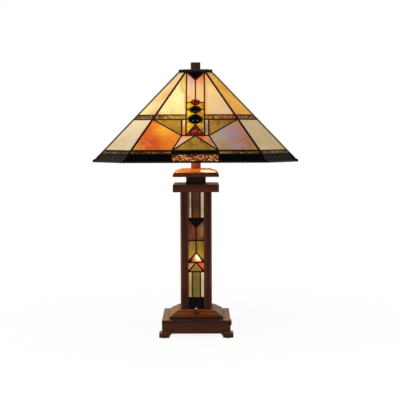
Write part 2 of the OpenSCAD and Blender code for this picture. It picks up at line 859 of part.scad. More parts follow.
// Pieces of a column window by kind; g is where the outer pieces end
function window_pieces(kind, g) =
    kind == "white" ? [
        row(1, strip_x, g), row(1, -g, -strip_x), row(5, strip_x, g), row(5, -g, -strip_x)
    ] :
    kind == "brown" ? [
        row(5, -strip_x, strip_x),
        [[0, window_y[4]], [g, window_y[4]], [g, window_y[5]], [0, window_y[5] - w_dart]],
        [[-g, window_y[4]], [0, window_y[4]], [0, window_y[5] - w_dart], [-g, window_y[5]]]
    ] :
    kind == "green" ? [
        row(1, -strip_x, strip_x),
        [[-g, window_y[2]], [g, window_y[2]], [0, window_y[3]]],
        [[0, window_y[3] + w_flame], [g, window_y[3]], [g, window_y[4]], [0, window_y[4]]],
        [[-g, window_y[3]], [0, window_y[3] + w_flame], [0, window_y[4]], [-g, window_y[4]]]
    ] :
    kind == "amber" ? [
        [[-g, window_y[3]], [g, window_y[3]], [0, window_y[3] + w_flame]],
        [[-g, window_y[2]], [0, window_y[3]], [-g, window_y[3]]]
    ] :
    kind == "red" ? [
        [[g, window_y[2]], [g, window_y[3]], [0, window_y[3]]]
    ] :
    kind == "black" ? [
        row(0, -g, g),
        [[0, window_y[5] - w_dart], [g, window_y[5]], [-g, window_y[5]]]
    ] : [];

// The outer pieces run just under the posts, so no came shows beside the wood
module window_glass(kind) {
    tuck = 0.4;
    for (p = window_pieces(kind, window_half + came_w / 2 + tuck)) polygon(inset(p, came_w / 2));
}

module column_glass(kind) {
    for (k = [0:3]) on_window(k) translate([0, 0, -recess - glass_t]) linear_extrude(glass_t)
        window_glass(kind);
}

module column_cames() {
    half = window_half + groove_d - groove_play;
    color([0.14, 0.1, 0.07]) for (k = [0:3]) on_window(k)
        translate([0, 0, -came_t]) linear_extrude(came_t) difference() {
            translate([-half, 0]) square([2 * half, column_h]);
            for (kind = ["white", "brown", "green", "amber", "red", "black"]) window_glass(kind);
        }
}

// ---- Plinth, box and feet ----

// Places a drawing on the switch's axis, standing square on the plinth's front slope
module on_switch() {
    translate([0, switch_y, switch_z]) rotate([switch_lean, 0, 0]) children();
}

// Room for the switch, bored from inside the box
module switch_holes() {
    on_switch() {
        translate([0, 0, -far / 2]) cylinder(d = switch_neck_d, h = far);
        translate([0, 0, -switch_wall - far / 4])
            cylinder(d = switch_d + 2 * switch_room, h = far / 4);
    }
}

module wire_holes() {
    translate([0, 0, box_z]) {
        cylinder(d = riser_d, h = far);
        translate([-conduit_xy, conduit_xy, 0]) cylinder(d = conduit_d, h = far);
    }
}

module plinth_block() {
    color([0.42, 0.2, 0.1]) difference() {
        translate([0, 0, plinth_z]) hipped([
            [plinth_w / 2, 0], [plinth_w / 2, plinth_edge_h],
            [plinth_top_w / 2, plinth_edge_h + plinth_slope_h]
        ]);
        wire_holes();
        switch_holes();
    }
}

module box_top() {
    w = box_w - 2 * rail_t;
    color([0.3, 0.15, 0.1]) difference() {
        translate([-w / 2, -w / 2, plinth_z - box_top_t]) cube([w, w, box_top_t]);
        wire_holes();
        switch_holes();
    }
}

// Side k of the box, 0 being the front, mitred at both ends and rebated for the bottom board
module box_side(k) {
    outer = box_w / 2;
    inner = outer - rail_t;
    color([0.26, 0.13, 0.1]) rotate([0, 0, 90 * k]) difference() {
        translate([0, 0, box_z]) linear_extrude(box_h)
            polygon([[-outer, -outer], [outer, -outer], [inner, -inner], [-inner, -inner]]);
        translate([-far / 2, -inner - bottom_rebate, box_z - 1]) cube([far, far, bottom_t + 1]);
        translate([screw_x, -screw_line, box_z]) cylinder(d = screw_d, h = bottom_t + screw_l);
    }
}

module box_back() {
    difference() {
        box_side(2);
        translate([0, 0, inlet_z]) rotate([-90, 0, 0]) cylinder(d = inlet_d, h = far);
    }
}

module bottom_board() {
    half = box_w / 2 - rail_t + bottom_rebate;
    color([0.35, 0.22, 0.14]) difference() {
        translate([-half, -half, box_z]) cube([2 * half, 2 * half, bottom_t]);
        four_sides() translate([screw_x, -screw_line, 0]) {
            cylinder(d = screw_d, h = far);
            translate([0, 0, box_z - 1]) cylinder(d = screw_head_d, h = screw_head_h + 1);
        }
    }
}

module bottom_screws() {
    color([0.7, 0.68, 0.62]) four_sides() translate([screw_x, -screw_line, box_z]) {
        cylinder(d = screw_head_d, h = screw_head_h);
        cylinder(d = screw_d, h = bottom_t + screw_l);
    }
}

// Profile of a foot across the corner, slanted on its inner side
module foot_profile() {
    outer = box_w / 2 + foot_out;
    inner = outer - foot_w;
    knee = foot_h - foot_slant;
    polygon([
        [inner, pad_t], [outer, pad_t], [outer, foot_h], [inner - foot_slant, foot_h],
        [inner, knee]
    ]);
}

module feet() {
    outer = box_w / 2 + foot_out;
    lip_in = outer - foot_w - foot_slant;
    lip_w = outer - lip_in;
    color([0.26, 0.13, 0.1]) four_sides() {
        intersection() {
            translate([0, outer, 0]) rotate([90, 0, 0]) linear_extrude(outer) foot_profile();
            rotate([90, 0, 90]) linear_extrude(outer) foot_profile();
        }
        translate([lip_in, lip_in, foot_h]) linear_extrude(foot_lip) difference() {
            square(lip_w);
            translate([-foot_out, -foot_out]) square(lip_w);
        }
    }
}

module felt_pads() {
    color([0.12, 0.2, 0.12]) four_corners(box_w / 2 + foot_out - foot_w / 2)
        cylinder(d = pad_d, h = pad_t);
}

// Flanged sleeve in the back of the box, where the cord goes in
module cord_inlet() {
    outer = box_w / 2;
    color([0.1, 0.09, 0.08]) translate([0, outer - rail_t, inlet_z]) rotate([-90, 0, 0])
        difference() {
            union() {
                cylinder(d = inlet_d, h = rail_t);
                translate([0, 0, rail_t])
                    cylinder(d = inlet_d + 2 * inlet_flange, h = inlet_flange_t);
            }
            translate([0, 0, -1]) cylinder(d = inlet_bore, h = rail_t + inlet_flange_t + 2);
        }
}

// ---- Switch ----

// Body inside the plinth, its threaded neck through the wood and the nut on the slope
module switch_body() {
    color([0.6, 0.58, 0.52]) on_switch() difference() {
        union() {
            translate([0, 0, -switch_wall - switch_l]) cylinder(d = switch_d, h = switch_l);
            translate([0, 0, -switch_wall])
                cylinder(d = switch_neck_d, h = switch_wall + switch_neck_top);
            cylinder(d = switch_nut_d, h = switch_nut_h);
        }
        translate([0, 0, shaft_foot]) cylinder(d = shaft_d + 2 * shaft_play, h = far);
    }
}

// Turned brass knob: a collar, a waist and a ball, on the shaft that it turns
module switch_knob() {
    collar_z = switch_neck_top + knob_gap;
    collar_mid = collar_z + 0.7 * collar_r;
    tip_z = shaft_foot + knob_gap;
    color([0.78, 0.6, 0.3]) on_switch() {
        translate([0, 0, tip_z]) cylinder(d = shaft_d, h = knob_out - tip_z);
        rotate_extrude() {
            translate([0, collar_z]) square([waist_r, knob_out - collar_z]);
            intersection() {
                translate([0, collar_mid]) circle(collar_r);
                translate([0, collar_z]) square([collar_r, 2 * collar_r]);
            }
            intersection() {
                translate([0, knob_out]) circle(d = knob_d);
                translate([0, knob_out - knob_d]) square([knob_d, 2 * knob_d]);
            }
        }
    }
}

shade_cap();
rim_band();
fold_seams();
panel_came(0);  // panel_came_front
panel_came(1);  // panel_came_right
panel_came(2);  // panel_came_back
panel_came(3);  // panel_came_left
corner_cames();
color([1, 0.88, 0.58]) shade_glass("cream");  // glass_cream
color([0.94, 0.8, 0.56]) for (k = [0:3]) on_corner(k) glass_plate() corner_glass("cream");  // glass_corner_cream
color([0.6, 0.4, 0.16]) shade_glass("band");  // glass_band
color([0.62, 0.5, 0.13]) shade_glass("olive");  // glass_olive
color([0.92, 0.52, 0.18]) shade_glass("orange_slag");  // glass_orange_slag
color([0.94, 0.72, 0.56]) shade_glass("pink");  // glass_pink
color([0.88, 0.66, 0.14]) shade_glass("gold");  // glass_gold
color([0.72, 0.18, 0.1]) shade_glass("red");  // glass_red
color([0.66, 0.42, 0.2]) shade_glass("confetti");  // glass_confetti
color([0.04, 0.03, 0.04]) shade_glass("black");  // glass_black
color([0.2, 0.16, 0.12]) shade_glass("border");  // glass_border
color([0.8, 0.12, 0.12]) jewels([2]);  // jewels_red
color([0.06, 0.05, 0.08]) jewels([0, 1]);  // jewels_black
finial_block();
finial_insert();
riser_tube();
lock_nuts();
shade_seat();
socket_cluster();
upper_sockets();
upper_bulb(-1);  // bulb_left
upper_bulb(1);  // bulb_right
stem_post();
capital_slab();
neck_block();
abacus_slab();
column_posts();
column_cames();
color([0.95, 0.85, 0.7]) column_glass("white");  // column_glass_white
color([0.5, 0.28, 0.22]) column_glass("brown");  // column_glass_brown
color([0.5, 0.5, 0.16]) column_glass("green");  // column_glass_green
color([0.98, 0.66, 0.24]) column_glass("amber");  // column_glass_amber
color([0.75, 0.14, 0.1]) column_glass("red");  // column_glass_red
color([0.03, 0.03, 0.03]) column_glass("black");  // column_glass_black
wire_conduit();
night_riser();
night_socket();
night_bulb();
plinth_block();
box_top();
box_side(0);  // box_front
box_side(1);  // box_right
box_back();
box_side(3);  // box_left
bottom_board();
bottom_screws();
feet();
felt_pads();
cord_inlet();
switch_body();
switch_knob();
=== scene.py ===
# Looks of the leaded glass table lamp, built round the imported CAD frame.
# Metres, +Z up, front at -Y. Lengths of the shade's and windows' patterns are in millimetres.
from math import asin, atan2, cos, pi, radians, sin, sqrt

import bmesh
import bpy
from mathutils import Matrix, Vector, noise
from mathutils.bvhtree import BVHTree


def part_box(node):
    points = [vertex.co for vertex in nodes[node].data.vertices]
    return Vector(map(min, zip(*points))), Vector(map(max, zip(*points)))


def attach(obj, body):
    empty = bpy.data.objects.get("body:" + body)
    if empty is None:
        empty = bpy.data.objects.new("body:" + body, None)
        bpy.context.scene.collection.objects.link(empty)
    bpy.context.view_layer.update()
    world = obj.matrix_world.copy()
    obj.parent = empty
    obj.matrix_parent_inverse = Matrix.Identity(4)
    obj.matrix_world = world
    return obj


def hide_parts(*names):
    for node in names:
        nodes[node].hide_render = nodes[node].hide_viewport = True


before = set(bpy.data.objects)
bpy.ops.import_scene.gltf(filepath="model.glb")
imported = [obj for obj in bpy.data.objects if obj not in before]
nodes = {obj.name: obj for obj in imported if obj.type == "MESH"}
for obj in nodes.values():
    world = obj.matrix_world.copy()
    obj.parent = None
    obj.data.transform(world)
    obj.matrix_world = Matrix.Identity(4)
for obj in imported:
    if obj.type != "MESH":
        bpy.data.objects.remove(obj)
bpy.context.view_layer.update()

MM = 0.001
TO_M = Matrix.Scale(MM, 4)

# -------- camera and image points

IMAGE_W, IMAGE_H = 400, 400
LONG = max(IMAGE_W, IMAGE_H)
SENSOR = 36.0
LENS = 88.47
SHIFT_X, SHIFT_Y = 0.0, 0.0
EYE = Vector((0.01588, -2.21942, 0.45848))
AIM = Vector((0.0089, 0.0, 0.3002))
ROLL = radians(-0.20)

# The object's outermost x and y, and the x, y of features, in the photograph's 400 x 400 frame
POINTS = {
    "rim_corner_left": (121.6, 163.1),
    "rim_corner_right": (268.2, 163.4),
    "band_seam_left": (153.0, 119.3),
    "band_seam_right": (236.5, 119.3),
    "cap_seam_left": (185.4, 71.8),
    "jewel_top": (195.9, 102.1),
    "jewel_middle": (195.4, 109.3),
    "jewel_low": (195.3, 118.9),
    "capital_left": (172.9, 176.5),
    "capital_right": (219.0, 176.5),
    "column_foot_left": (181.2, 309.3),
    "column_foot_right": (212.2, 309.2),
    "plinth_left": (169.6, 319.0),
    "plinth_right": (223.6, 318.9),
    "knob_ball": (196.5, 309.2),
    "drop_rim_end": (92.6, 159.8),
    "drop_rim_fold": (121.3, 162.2),
    "drop_band_fold": (153.2, 117.0),
}


def make_camera():
    data = bpy.data.cameras.new("camera")
    data.sensor_fit = "AUTO"
    data.sensor_width = SENSOR
    data.lens = LENS
    data.shift_x, data.shift_y = SHIFT_X, SHIFT_Y
    data.clip_start, data.clip_end = 0.05, 60
    made = bpy.data.objects.new("camera", data)
    bpy.context.scene.collection.objects.link(made)
    ahead = (AIM - EYE).normalized()
    right = ahead.cross(Vector((0, 0, 1))).normalized()
    up = right.cross(ahead)
    x_axis = right * cos(ROLL) + up * sin(ROLL)
    y_axis = up * cos(ROLL) - right * sin(ROLL)
    turn = Matrix((x_axis, y_axis, -ahead)).transposed().to_4x4()
    made.matrix_world = Matrix.Translation(EYE) @ turn
    bpy.context.scene.camera = made
    return made


camera = make_camera()


def ray_through(x, y):
    """Start and direction of the camera's ray through an image point."""
    way = Vector((x - IMAGE_W / 2 + SHIFT_X * LONG, IMAGE_H / 2 - y + SHIFT_Y * LONG,
                  -LONG * LENS / SENSOR))
    return camera.matrix_world.translation, (camera.matrix_world.to_3x3() @ way).normalized()


def seen_at(point):
    """Image x, y of a point."""
    q = camera.matrix_world.inverted() @ Vector(point)
    scale = LONG * LENS / SENSOR / -q.z
    return (IMAGE_W / 2 - SHIFT_X * LONG + q.x * scale,
            IMAGE_H / 2 + SHIFT_Y * LONG - q.y * scale)


def place(x, y, carrier):
    """Where the ray through an image point meets the carrier, or the place nearest the ray."""
    eye, way = ray_through(x, y)
    mesh = carrier.data
    tree = BVHTree.FromPolygons([carrier.matrix_world @ v.co for v in mesh.vertices],
                                [tuple(p.vertices) for p in mesh.polygons])
    hit = tree.ray_cast(eye, way)[0]
    if hit is None:
        hit = min((carrier.matrix_world @ v.co for v in mesh.vertices),
                  key=lambda p: ((p - eye) - (p - eye).dot(way) * way).length)
    return hit


# -------- the patterns, in mm

RIM_R, TOP_R, RIM_Z, CAP_Z = 216.0, 36.9, 391.3, 586.5
PANEL_W, PANEL_TOP_W = 298.6, 44.4
RISE = CAP_Z - RIM_Z
SLOPE_A = atan2(RISE, RIM_R - TOP_R)
SLOPE_L = RISE / sin(SLOPE_A)
CORNER_R = (RIM_R + PANEL_W / 2) / sqrt(2)
CORNER_TOP_R = (TOP_R + PANEL_TOP_W / 2) / sqrt(2)
CORNER_W = sqrt(2) * (RIM_R - PANEL_W / 2)
CORNER_TOP_W = sqrt(2) * (TOP_R - PANEL_TOP_W / 2)
CORNER_A = atan2(RISE, CORNER_R - CORNER_TOP_R)
CORNER_L = RISE / sin(CORNER_A)
CAME_T, CAME_W, SEAM_W = 3.6, 3.0, 1.6
MID_U, STRIP_U, FOOT_U = 19.5, 28.5, 48.5
RIM_BAND_S, BORDER_S, SKIRT_S, FAN_S, RED_TIP_S = 4.2, 24.0, 33.5, 75.5, 106.5
BAND_LO_S, BAND_HI_S, DART_TIP_S = 121.5, 134.5, 238.7
JEWELS = ((122.0, 11.6), (150.3, 8.6), (171.5, 6.6))  # height up the panel, radius
JEWEL_CAME = 1.8
COLUMN_Z, WINDOW_IN, WINDOW_HALF, STRIP_X = 56.2, 29.1, 17.1, 9.4
ROWS = (0, 25.9, 84.6, 105.8, 155.3, 205.1, 264.7)
FLAME_H, DART_H = 22.0, 21.0


def half_at(foot, top, slope, s):
    """Half the width of a panel at a height up its slope."""
    return foot / 2 - (foot - top) / 2 * s / slope


def panel_frame(k, corner=False):
    """Turns (across, up the slope, out of the glass) in mm into the row frame in metres."""
    r, a = (CORNER_R, CORNER_A) if corner else (RIM_R, SLOPE_A)
    turn = Matrix.Rotation(pi / 2 * k + (pi / 4 if corner else 0), 4, "Z")
    return TO_M @ turn @ Matrix.Translation((0, -r, RIM_Z)) @ Matrix.Rotation(a, 4, "X")


def window_frame(k):
    """The same for the column's window on side k, measured from its foot."""
    foot = Matrix.Translation((0, -WINDOW_IN, COLUMN_Z))
    return TO_M @ Matrix.Rotation(pi / 2 * k, 4, "Z") @ foot @ Matrix.Rotation(pi / 2, 4, "X")


def on_panel(u, s, out=0.0):
    """A point of the front panel, u across and s up its slope, out millimetres above it."""
    return panel_frame(0) @ Vector((u, s, out))


def on_window(u, z):
    """A point of the front window, u across and z above its foot."""
    return window_frame(0) @ Vector((u, z, 0))


# -------- node graphs

MATERIALS = {}


def linear(code):
    """Linear colour of a #rrggbb code."""
    parts = [int(code[i:i + 2], 16) / 255 for i in (1, 3, 5)]
    return [c / 12.92 if c <= 0.04045 else ((c + 0.055) / 1.055) ** 2.4 for c in parts] + [1.0]


class Nodes:
    """A node tree under construction. Most methods return an output socket."""

    def __init__(self, tree):
        self.tree = tree
        tree.nodes.clear()

    def put(self, socket, value):
        if isinstance(value, bpy.types.NodeSocket):
            self.tree.links.new(value, socket)
        elif isinstance(value, str) and value.startswith("#"):
            socket.default_value = linear(value)
        else:
            socket.default_value = value

    def node(self, kind, ins=(), **props):
        made = self.tree.nodes.new("ShaderNode" + kind)
        for name, value in props.items():
            setattr(made, name, value)
        for key, value in dict(ins).items():
            self.put(made.inputs[key], value)
        return made

    def first(self, kind, ins, **props):
        return self.node(kind, ins, **props).outputs[0]

    def math(self, op, a, b=0.5, c=0.0, clamp=False):
        return self.first("Math", {0: a, 1: b, 2: c}, operation=op, use_clamp=clamp)

    def times(self, a, *others):
        for b in others:
            a = self.math("MULTIPLY", a, b)
        return a

    def plus(self, a, b):
        return self.math("ADD", a, b)

    def blend(self, a, share, b):
        """The sum of two noises, the first with its share and the second with the rest."""
        return self.plus(self.times(a, share), self.times(b, round(1 - share, 4)))

    def size(self, a):
        return self.math("ABSOLUTE", a)


class Graph(Nodes):
    """A Principled material under construction, kept by its name in MATERIALS."""

    def __init__(self, name):
        material = MATERIALS[name] = bpy.data.materials.new(name)
        material.cycles.emission_sampling = "NONE"  # glass sampled as a lamp makes noise
        material.use_nodes = True
        super().__init__(material.node_tree)
        self.out = self.node("OutputMaterial")
        self.shader = self.node("BsdfPrincipled")
        self.put(self.out.inputs["Surface"], self.shader.outputs[0])
        coords = self.node("TexCoord").outputs
        self.place, self.normal = coords["Object"], coords["Normal"]
        self.front = None

    def set(self, **values):
        for name, value in values.items():
            self.put(self.shader.inputs[name.replace("_", " ")], value)

    def bump(self, height, strength, depth):
        ins = {"Height": height, "Strength": strength, "Distance": depth}
        self.set(Normal=self.first("Bump", ins))

    def parts(self, vector=None):
        """The x, y and z of a vector, or of the place."""
        return self.node("SeparateXYZ", {0: vector or self.place}).outputs

    def part(self, axis):
        return self.parts()[axis]

    def stretched(self, scale, turn=(0, 0, 0), shift=(0, 0, 0)):
        return self.first("Mapping", {"Vector": self.place, "Scale": scale,
                                      "Rotation": turn, "Location": shift})

    def noise(self, scale, vector=None, detail=4.0, rough=0.55, twist=0.0):
        return self.first("TexNoise", {
            "Vector": vector or self.place, "Scale": scale, "Detail": detail,
            "Roughness": rough, "Distortion": twist})

    def cells(self, scale, vector, feature):
        return self.first("TexVoronoi", {"Vector": vector, "Scale": scale}, feature=feature)

    def ramp(self, factor, stops, ease="LINEAR"):
        made = self.node("ValToRGB", {"Fac": factor})
        ramp = made.color_ramp
        ramp.interpolation = ease
        while len(ramp.elements) < len(stops):
            ramp.elements.new(0.5)
        for element, at in zip(ramp.elements, stops):
            element.position = at
        for element, value in zip(ramp.elements, stops.values()):
            element.color = linear(value) if isinstance(value, str) else [value] * 3 + [1]
        return made.outputs[0]

    def mix(self, factor, a, b):
        made = self.node("Mix", data_type="RGBA")
        for i, value in ((0, factor), (6, a), (7, b)):
            self.put(made.inputs[i], value)
        return made.outputs[2]

    def scaled(self, colour, factor):
        return self.first("VectorMath", {0: colour, "Scale": factor}, operation="SCALE")

    def between(self, value, low, high):
        """0 at low, 1 at high, smooth."""
        return self.first("MapRange", {"Value": value, "From Min": low, "From Max": high},
                          interpolation_type="SMOOTHSTEP")

    def varied(self, low, high, factor):
        return self.first("MapRange", {"Value": factor, "To Min": low, "To Max": high})

    def distance(self, point, at=None):
        made = self.node("VectorMath", {0: at or self.place, 1: point}, operation="DISTANCE")
        return made.outputs["Value"]

    def near(self, point, reach, at=None):
        """1 at a point, falling off smoothly over reach metres."""
        share = self.math("DIVIDE", self.distance(point, at), reach)
        return self.math("EXPONENT", self.times(share, share, -1.0))

    def facing(self):
        """The place, turned by quarter turns so that every side matches the front."""
        if self.front is None:
            x, y, z = self.parts()
            wide, deep = self.size(x), self.size(y)
            on_y = self.times(self.math("SIGN", y), x, -1.0)
            on_x = self.times(self.math("SIGN", x), y)
            turned = self.math("GREATER_THAN", deep, wide)
            across = self.first("Mix", {0: turned, 2: on_x, 3: on_y}, data_type="FLOAT")
            depth = self.times(self.math("MAXIMUM", wide, deep), -1.0)
            self.front = self.first("CombineXYZ", {0: across, 1: depth, 2: z})
        return self.front

    def across(self):
        """Distance to the right of a side's middle."""
        return self.parts(self.facing())[0]

    def side(self):
        """0 on the left of the lamp, 1 on the right."""
        return self.between(self.part(0), -0.05, 0.05)

    def half(self, width=0.006):
        """0 on the left half of every side, 1 on its right half."""
        return self.between(self.across(), -width, width)

    def split(self, share, tone, left, right):
        """Two ramps of a tone, the left one where share is 0 and the right one where it is 1."""
        return self.mix(share, self.ramp(tone, left), self.ramp(tone, right))

    def pushed(self, at, scale, amount):
        """A place pushed about by noise, so that what is near a point has no round edge."""
        jitter = self.node("TexNoise", {"Vector": self.place, "Scale": scale, "Detail": 3.0})
        push = self.first("VectorMath", {0: jitter.outputs["Color"], 1: (0.5, 0.5, 0.5)},
                          operation="SUBTRACT")
        return self.first("VectorMath", {0: at, 1: self.scaled(push, amount)},
                          operation="ADD")

    def clouded(self, colour, clouds, amount=0.02, scale=45.0, wisps=None, where=on_panel):
        """Colour with soft clouds of other colours, the same on every side.

        clouds are (u, s, or where's own coordinates, reach in mm, tint, share), and wisps is
        a noise that frays their edges."""
        at = self.pushed(self.facing(), scale, amount)
        for *point, reach, tint, share in clouds:
            here = self.near(where(*point), reach * MM, at)
            if wisps is not None:
                here = self.times(here, self.between(wisps, 0.36, 0.58))
            colour = self.mix(self.times(here, share), colour, tint)
        return colour

    def rolled(self, along, twist, scale, seed, detail=6, lean=0.0):
        """Wisps drawn out up the slope of every side, as in rolled sheet glass.

        lean tips them outward, on the left half and the right half alike."""
        x, _, z = self.parts(self.facing())
        if lean:
            x = self.size(x)
        flat = self.first("CombineXYZ", {0: x, 1: 0.0, 2: self.times(z, 1.36)})
        tipped = self.first("Mapping", {"Vector": flat, "Rotation": (0, lean, 0)})
        lines = self.first("Mapping", {
            "Vector": tipped, "Scale": (1.0, 1.0, along),
            "Location": (seed, seed * 0.7, seed * 1.3)})
        return self.noise(scale, lines, detail=detail, rough=0.6, twist=twist)


def wood(name, dark, mid, light, axis, seed, rough=0.45, pore=0.3, lit_tops=None, sides=None,
         shaded_steep=None, corners=None, polish=0.0, foot=None):
    """Stained wood with its grain along an axis: streaks, pores, lacquer of uneven gloss.

    tops is (colour, from x, to x) of painted light from the bulbs on its upward faces, faint in
    the middle, sides the colour of the end grain on its slopes to left and right, with painted
    light on it and painted shade on the right-hand ones, steep is the painted shade of its
    upright faces, corners is (half width, colour) of a painted highlight along its vertical
    edges, stronger on the left, polish the lacquer on its upper slopes to front and back, foot
    (from z, to z) where painted shade darkens it towards the bottom."""
    g = Graph(name)
    grain = [1.0] * 3
    grain[axis] = 0.045
    lines = g.stretched(grain, shift=(seed, seed * 1.7, seed * 0.6))
    broad = g.noise(42, lines, detail=3, twist=0.8)
    fine = g.noise(310, lines, detail=5, rough=0.65)
    rings = g.node("TexWave", {
        "Vector": lines, "Scale": 26, "Distortion": 9.0, "Detail": 3.0, "Detail Scale": 1.4},
        wave_type="RINGS", rings_direction="XYZ"[axis]).outputs["Fac"]
    pores = g.ramp(g.noise(1800, lines, detail=2), {0.30: 1.0, 0.40: 0.0})
    tone = g.plus(g.times(broad, 0.5), g.plus(g.times(fine, 0.28), g.times(rings, 0.22)))
    colour = g.ramp(tone, {0.30: dark, 0.50: mid, 0.72: light})
    normal = g.parts(g.normal)
    speckle = g.varied(0.55, 1.0, g.noise(420, detail=4, rough=0.75))
    # Painted shade on upright faces, which the light from above misses.
    if shaded_steep:
        colour = g.mix(g.varied(0.0, 0.95, g.between(normal[2], 0.85, 0.6)), colour, shaded_steep)
    # End grain of the side slopes, with painted light on it.
    if sides:
        turned = g.between(g.size(normal[0]), 0.3, 0.5)
        slope = g.times(turned, g.between(normal[2], 0.3, 0.5))
        colour = g.mix(g.times(slope, speckle), colour, sides)
        # Painted shade on the right-hand side slopes.
        colour = g.mix(g.times(slope, g.side(), 0.5), colour, dark)
    # Painted light from the bulbs above on the upward faces, faint in the middle.
    if lit_tops:
        tint, near_x, far_x = lit_tops
        aside = g.between(g.size(g.part(0)), near_x, far_x)
        lit_top = g.times(g.between(normal[2], 0.85, 0.97), g.varied(0.1, 1.0, aside))
        colour = g.mix(g.times(lit_top, speckle), colour, tint)
    # Painted highlight along the vertical edges, where they catch the light, stronger on the
    # lamp's left.
    if corners:
        half, tint = corners
        x, y, _ = g.parts()
        inner = g.math("MINIMUM", g.size(x), g.size(y))
        edge_light = g.between(inner, (half - 2.8) * MM, (half - 1.2) * MM)
        edge_light = g.times(edge_light, g.varied(1.0, 0.3, g.side()))
        colour = g.mix(g.times(edge_light, g.varied(0.4, 1.0, fine)), colour, tint)
    colour = g.mix(g.varied(0.0, 0.35, g.noise(14, detail=2)), colour, dark)
    # Painted shade: darker towards the bottom.
    if foot:
        colour = g.mix(g.varied(0.0, 0.6, g.between(g.part(2), *foot)), colour, dark)
    colour = g.mix(g.times(pores, pore), colour, dark)
    smudge = g.noise(60, detail=5, rough=0.7)
    g.set(Base_Color=colour, Specular_IOR_Level=0.1,
          Roughness=g.plus(g.varied(rough - 0.07, rough + 0.06, smudge), g.times(pores, 0.2)))
    if polish:
        facing = g.times(g.between(g.size(normal[0]), 0.25, 0.1), polish)
        sloping = g.times(g.between(normal[2], 0.75, 0.88), g.between(normal[2], 0.99, 0.96))
        g.set(Coat_Weight=g.times(facing, sloping), Coat_Roughness=0.2)
    g.bump(g.plus(g.times(pores, -0.4), g.times(fine, 0.4)), 0.3, 0.0002)


def metal(name, dark, light, rough=0.3, grime=0.4, scratch=(1, 1, 1), lit=None, edge=None,
          painted_marks=()):
    """Metal with tarnish patches, fine scratches and uneven polish.

    lit is its tint by the bulbs, edge the painted glow of the lit glass on the shade's outermost
    folds, marks are (point, reach, tint, share) of painted highlights and shade."""
    g = Graph(name)
    patches = g.noise(90, detail=6, rough=0.65)
    fine = g.noise(1400, g.stretched(scratch), detail=3)
    colour = g.ramp(patches, {0.32: dark, 0.62: light})
    if lit:
        colour = g.clouded(colour, [(-34, 185, 62, lit, 0.75), (34, 185, 50, lit, 0.55)])
        colour = g.clouded(colour, [(0, at, 1.8 * r, dark, 1.0) for at, r in JEWELS[:2]],
                           0.001)
    # Painted light: the glow of the glass on the folds at the shade's sides, above the skirt.
    if edge:
        x, y, z = g.parts()
        aside = g.math("SUBTRACT", g.size(x), g.size(y))
        outer = g.times(g.between(aside, 0.006, 0.012), g.between(z, 0.408, 0.416))
        colour = g.mix(g.times(outer, 0.8), colour, edge)
    for point, reach, tint, share in painted_marks:
        colour = g.mix(g.times(g.near(point, reach), share), colour, tint)
    tarnish = g.ramp(g.noise(260, detail=4), {0.52: 0.0, 0.72: 1.0})
    colour = g.mix(g.times(tarnish, grime), colour, dark)
    g.set(Base_Color=colour, Metallic=1.0,
          Roughness=g.plus(g.varied(rough - 0.1, rough + 0.16, patches), g.times(fine, 0.12)))
    g.bump(g.blend(patches, 0.6, fine), 0.25, 0.0004)


# The lit bulbs behind the shade's glass, and their distance from a patterned panel
BULB_LEFT = (-0.045, 0.0, 0.448)
BULB_RIGHT = (0.045, 0.0, 0.448)
BULB_GAP = 0.1206
NIGHT_LIGHT = on_window(4.6, 115.5)
# Heights in metres between the skirt's strip and the mottled band, and at the band
ABOVE_SKIRT, AT_BAND = (0.44, 0.46), (0.480, 0.488)


def shade_glow(g):
    """How strongly the bulbs light the shade's glass from behind."""
    lit = 0.42
    for bulb, amount in ((BULB_LEFT, 0.45), (BULB_RIGHT, 0.15)):
        fall = g.math("POWER", g.math("DIVIDE", BULB_GAP, g.distance(bulb)), 3.0)
        lit = g.math("MULTIPLY_ADD", fall, amount, lit)
    return g.math("MINIMUM", lit, 1.3)


def window_glow(g, near):
    """How strongly the night light lights the column's glass."""
    return g.math("MULTIPLY_ADD", g.near(NIGHT_LIGHT, 0.04, g.facing()), near, 0.42)


def finish_glass(g, colour, glow=None, own=0.4, power=1.0, rough=0.2, ripple=None,
                 depth=0.0006, strength=0.35, specular=0.06):
    """Sheet glass of that colour: lit from outside by its own share, from inside by the glow."""
    glow = shade_glow(g) if glow is None else glow
    g.set(Base_Color=g.scaled(colour, own), Emission_Color=g.scaled(colour, glow),
          Emission_Strength=power, Specular_IOR_Level=specular,
          Roughness=g.varied(rough - 0.06, rough + 0.14, g.noise(120, detail=4)))
    g.bump(ripple or g.noise(95, detail=3, twist=1.2), strength, depth)


def glass_cream():
    g = Graph("glass_cream")
    warm = g.blend(g.rolled(0.25, 1.2, 52, 0.4), 0.6, g.rolled(0.08, 0.3, 190, 0.9, 3))
    colour = g.split(g.half(), warm, {0.36: "#C29244", 0.47: "#DABB70", 0.58: "#E8D896"},
                     {0.34: "#CC9444", 0.44: "#DEB470", 0.54: "#D3B082", 0.63: "#CCB4A4"})
    # The first cloud is painted light: the hot spot of the left bulb showing through the glass.
    colour = g.clouded(colour, [
        (-54, 164, 34, "#E0D290", 0.7), (-24, 242, 22, "#CC963C", 0.8),
        (28, 238, 20, "#D49E4C", 0.75), (-60, 210, 16, "#C6A268", 0.6),
        (40, 208, 18, "#E1BB80", 0.6), (66, 168, 20, "#CBA880", 0.5),
        (-24, 120, 20, "#E6CC84", 0.9), (-24, 84, 27, "#DA7818", 0.97),
        (24, 98, 28, "#8C7064", 0.95)])
    right_half = g.between(g.across(), 0.0, 0.01)
    beam = g.times(g.between(g.across(), 0.0300, 0.0225),
                   g.times(right_half, g.between(g.part(2), 0.485, 0.495)))
    finish_glass(g, g.mix(g.times(beam, 0.85), colour, "#D5A24C"), rough=0.22)


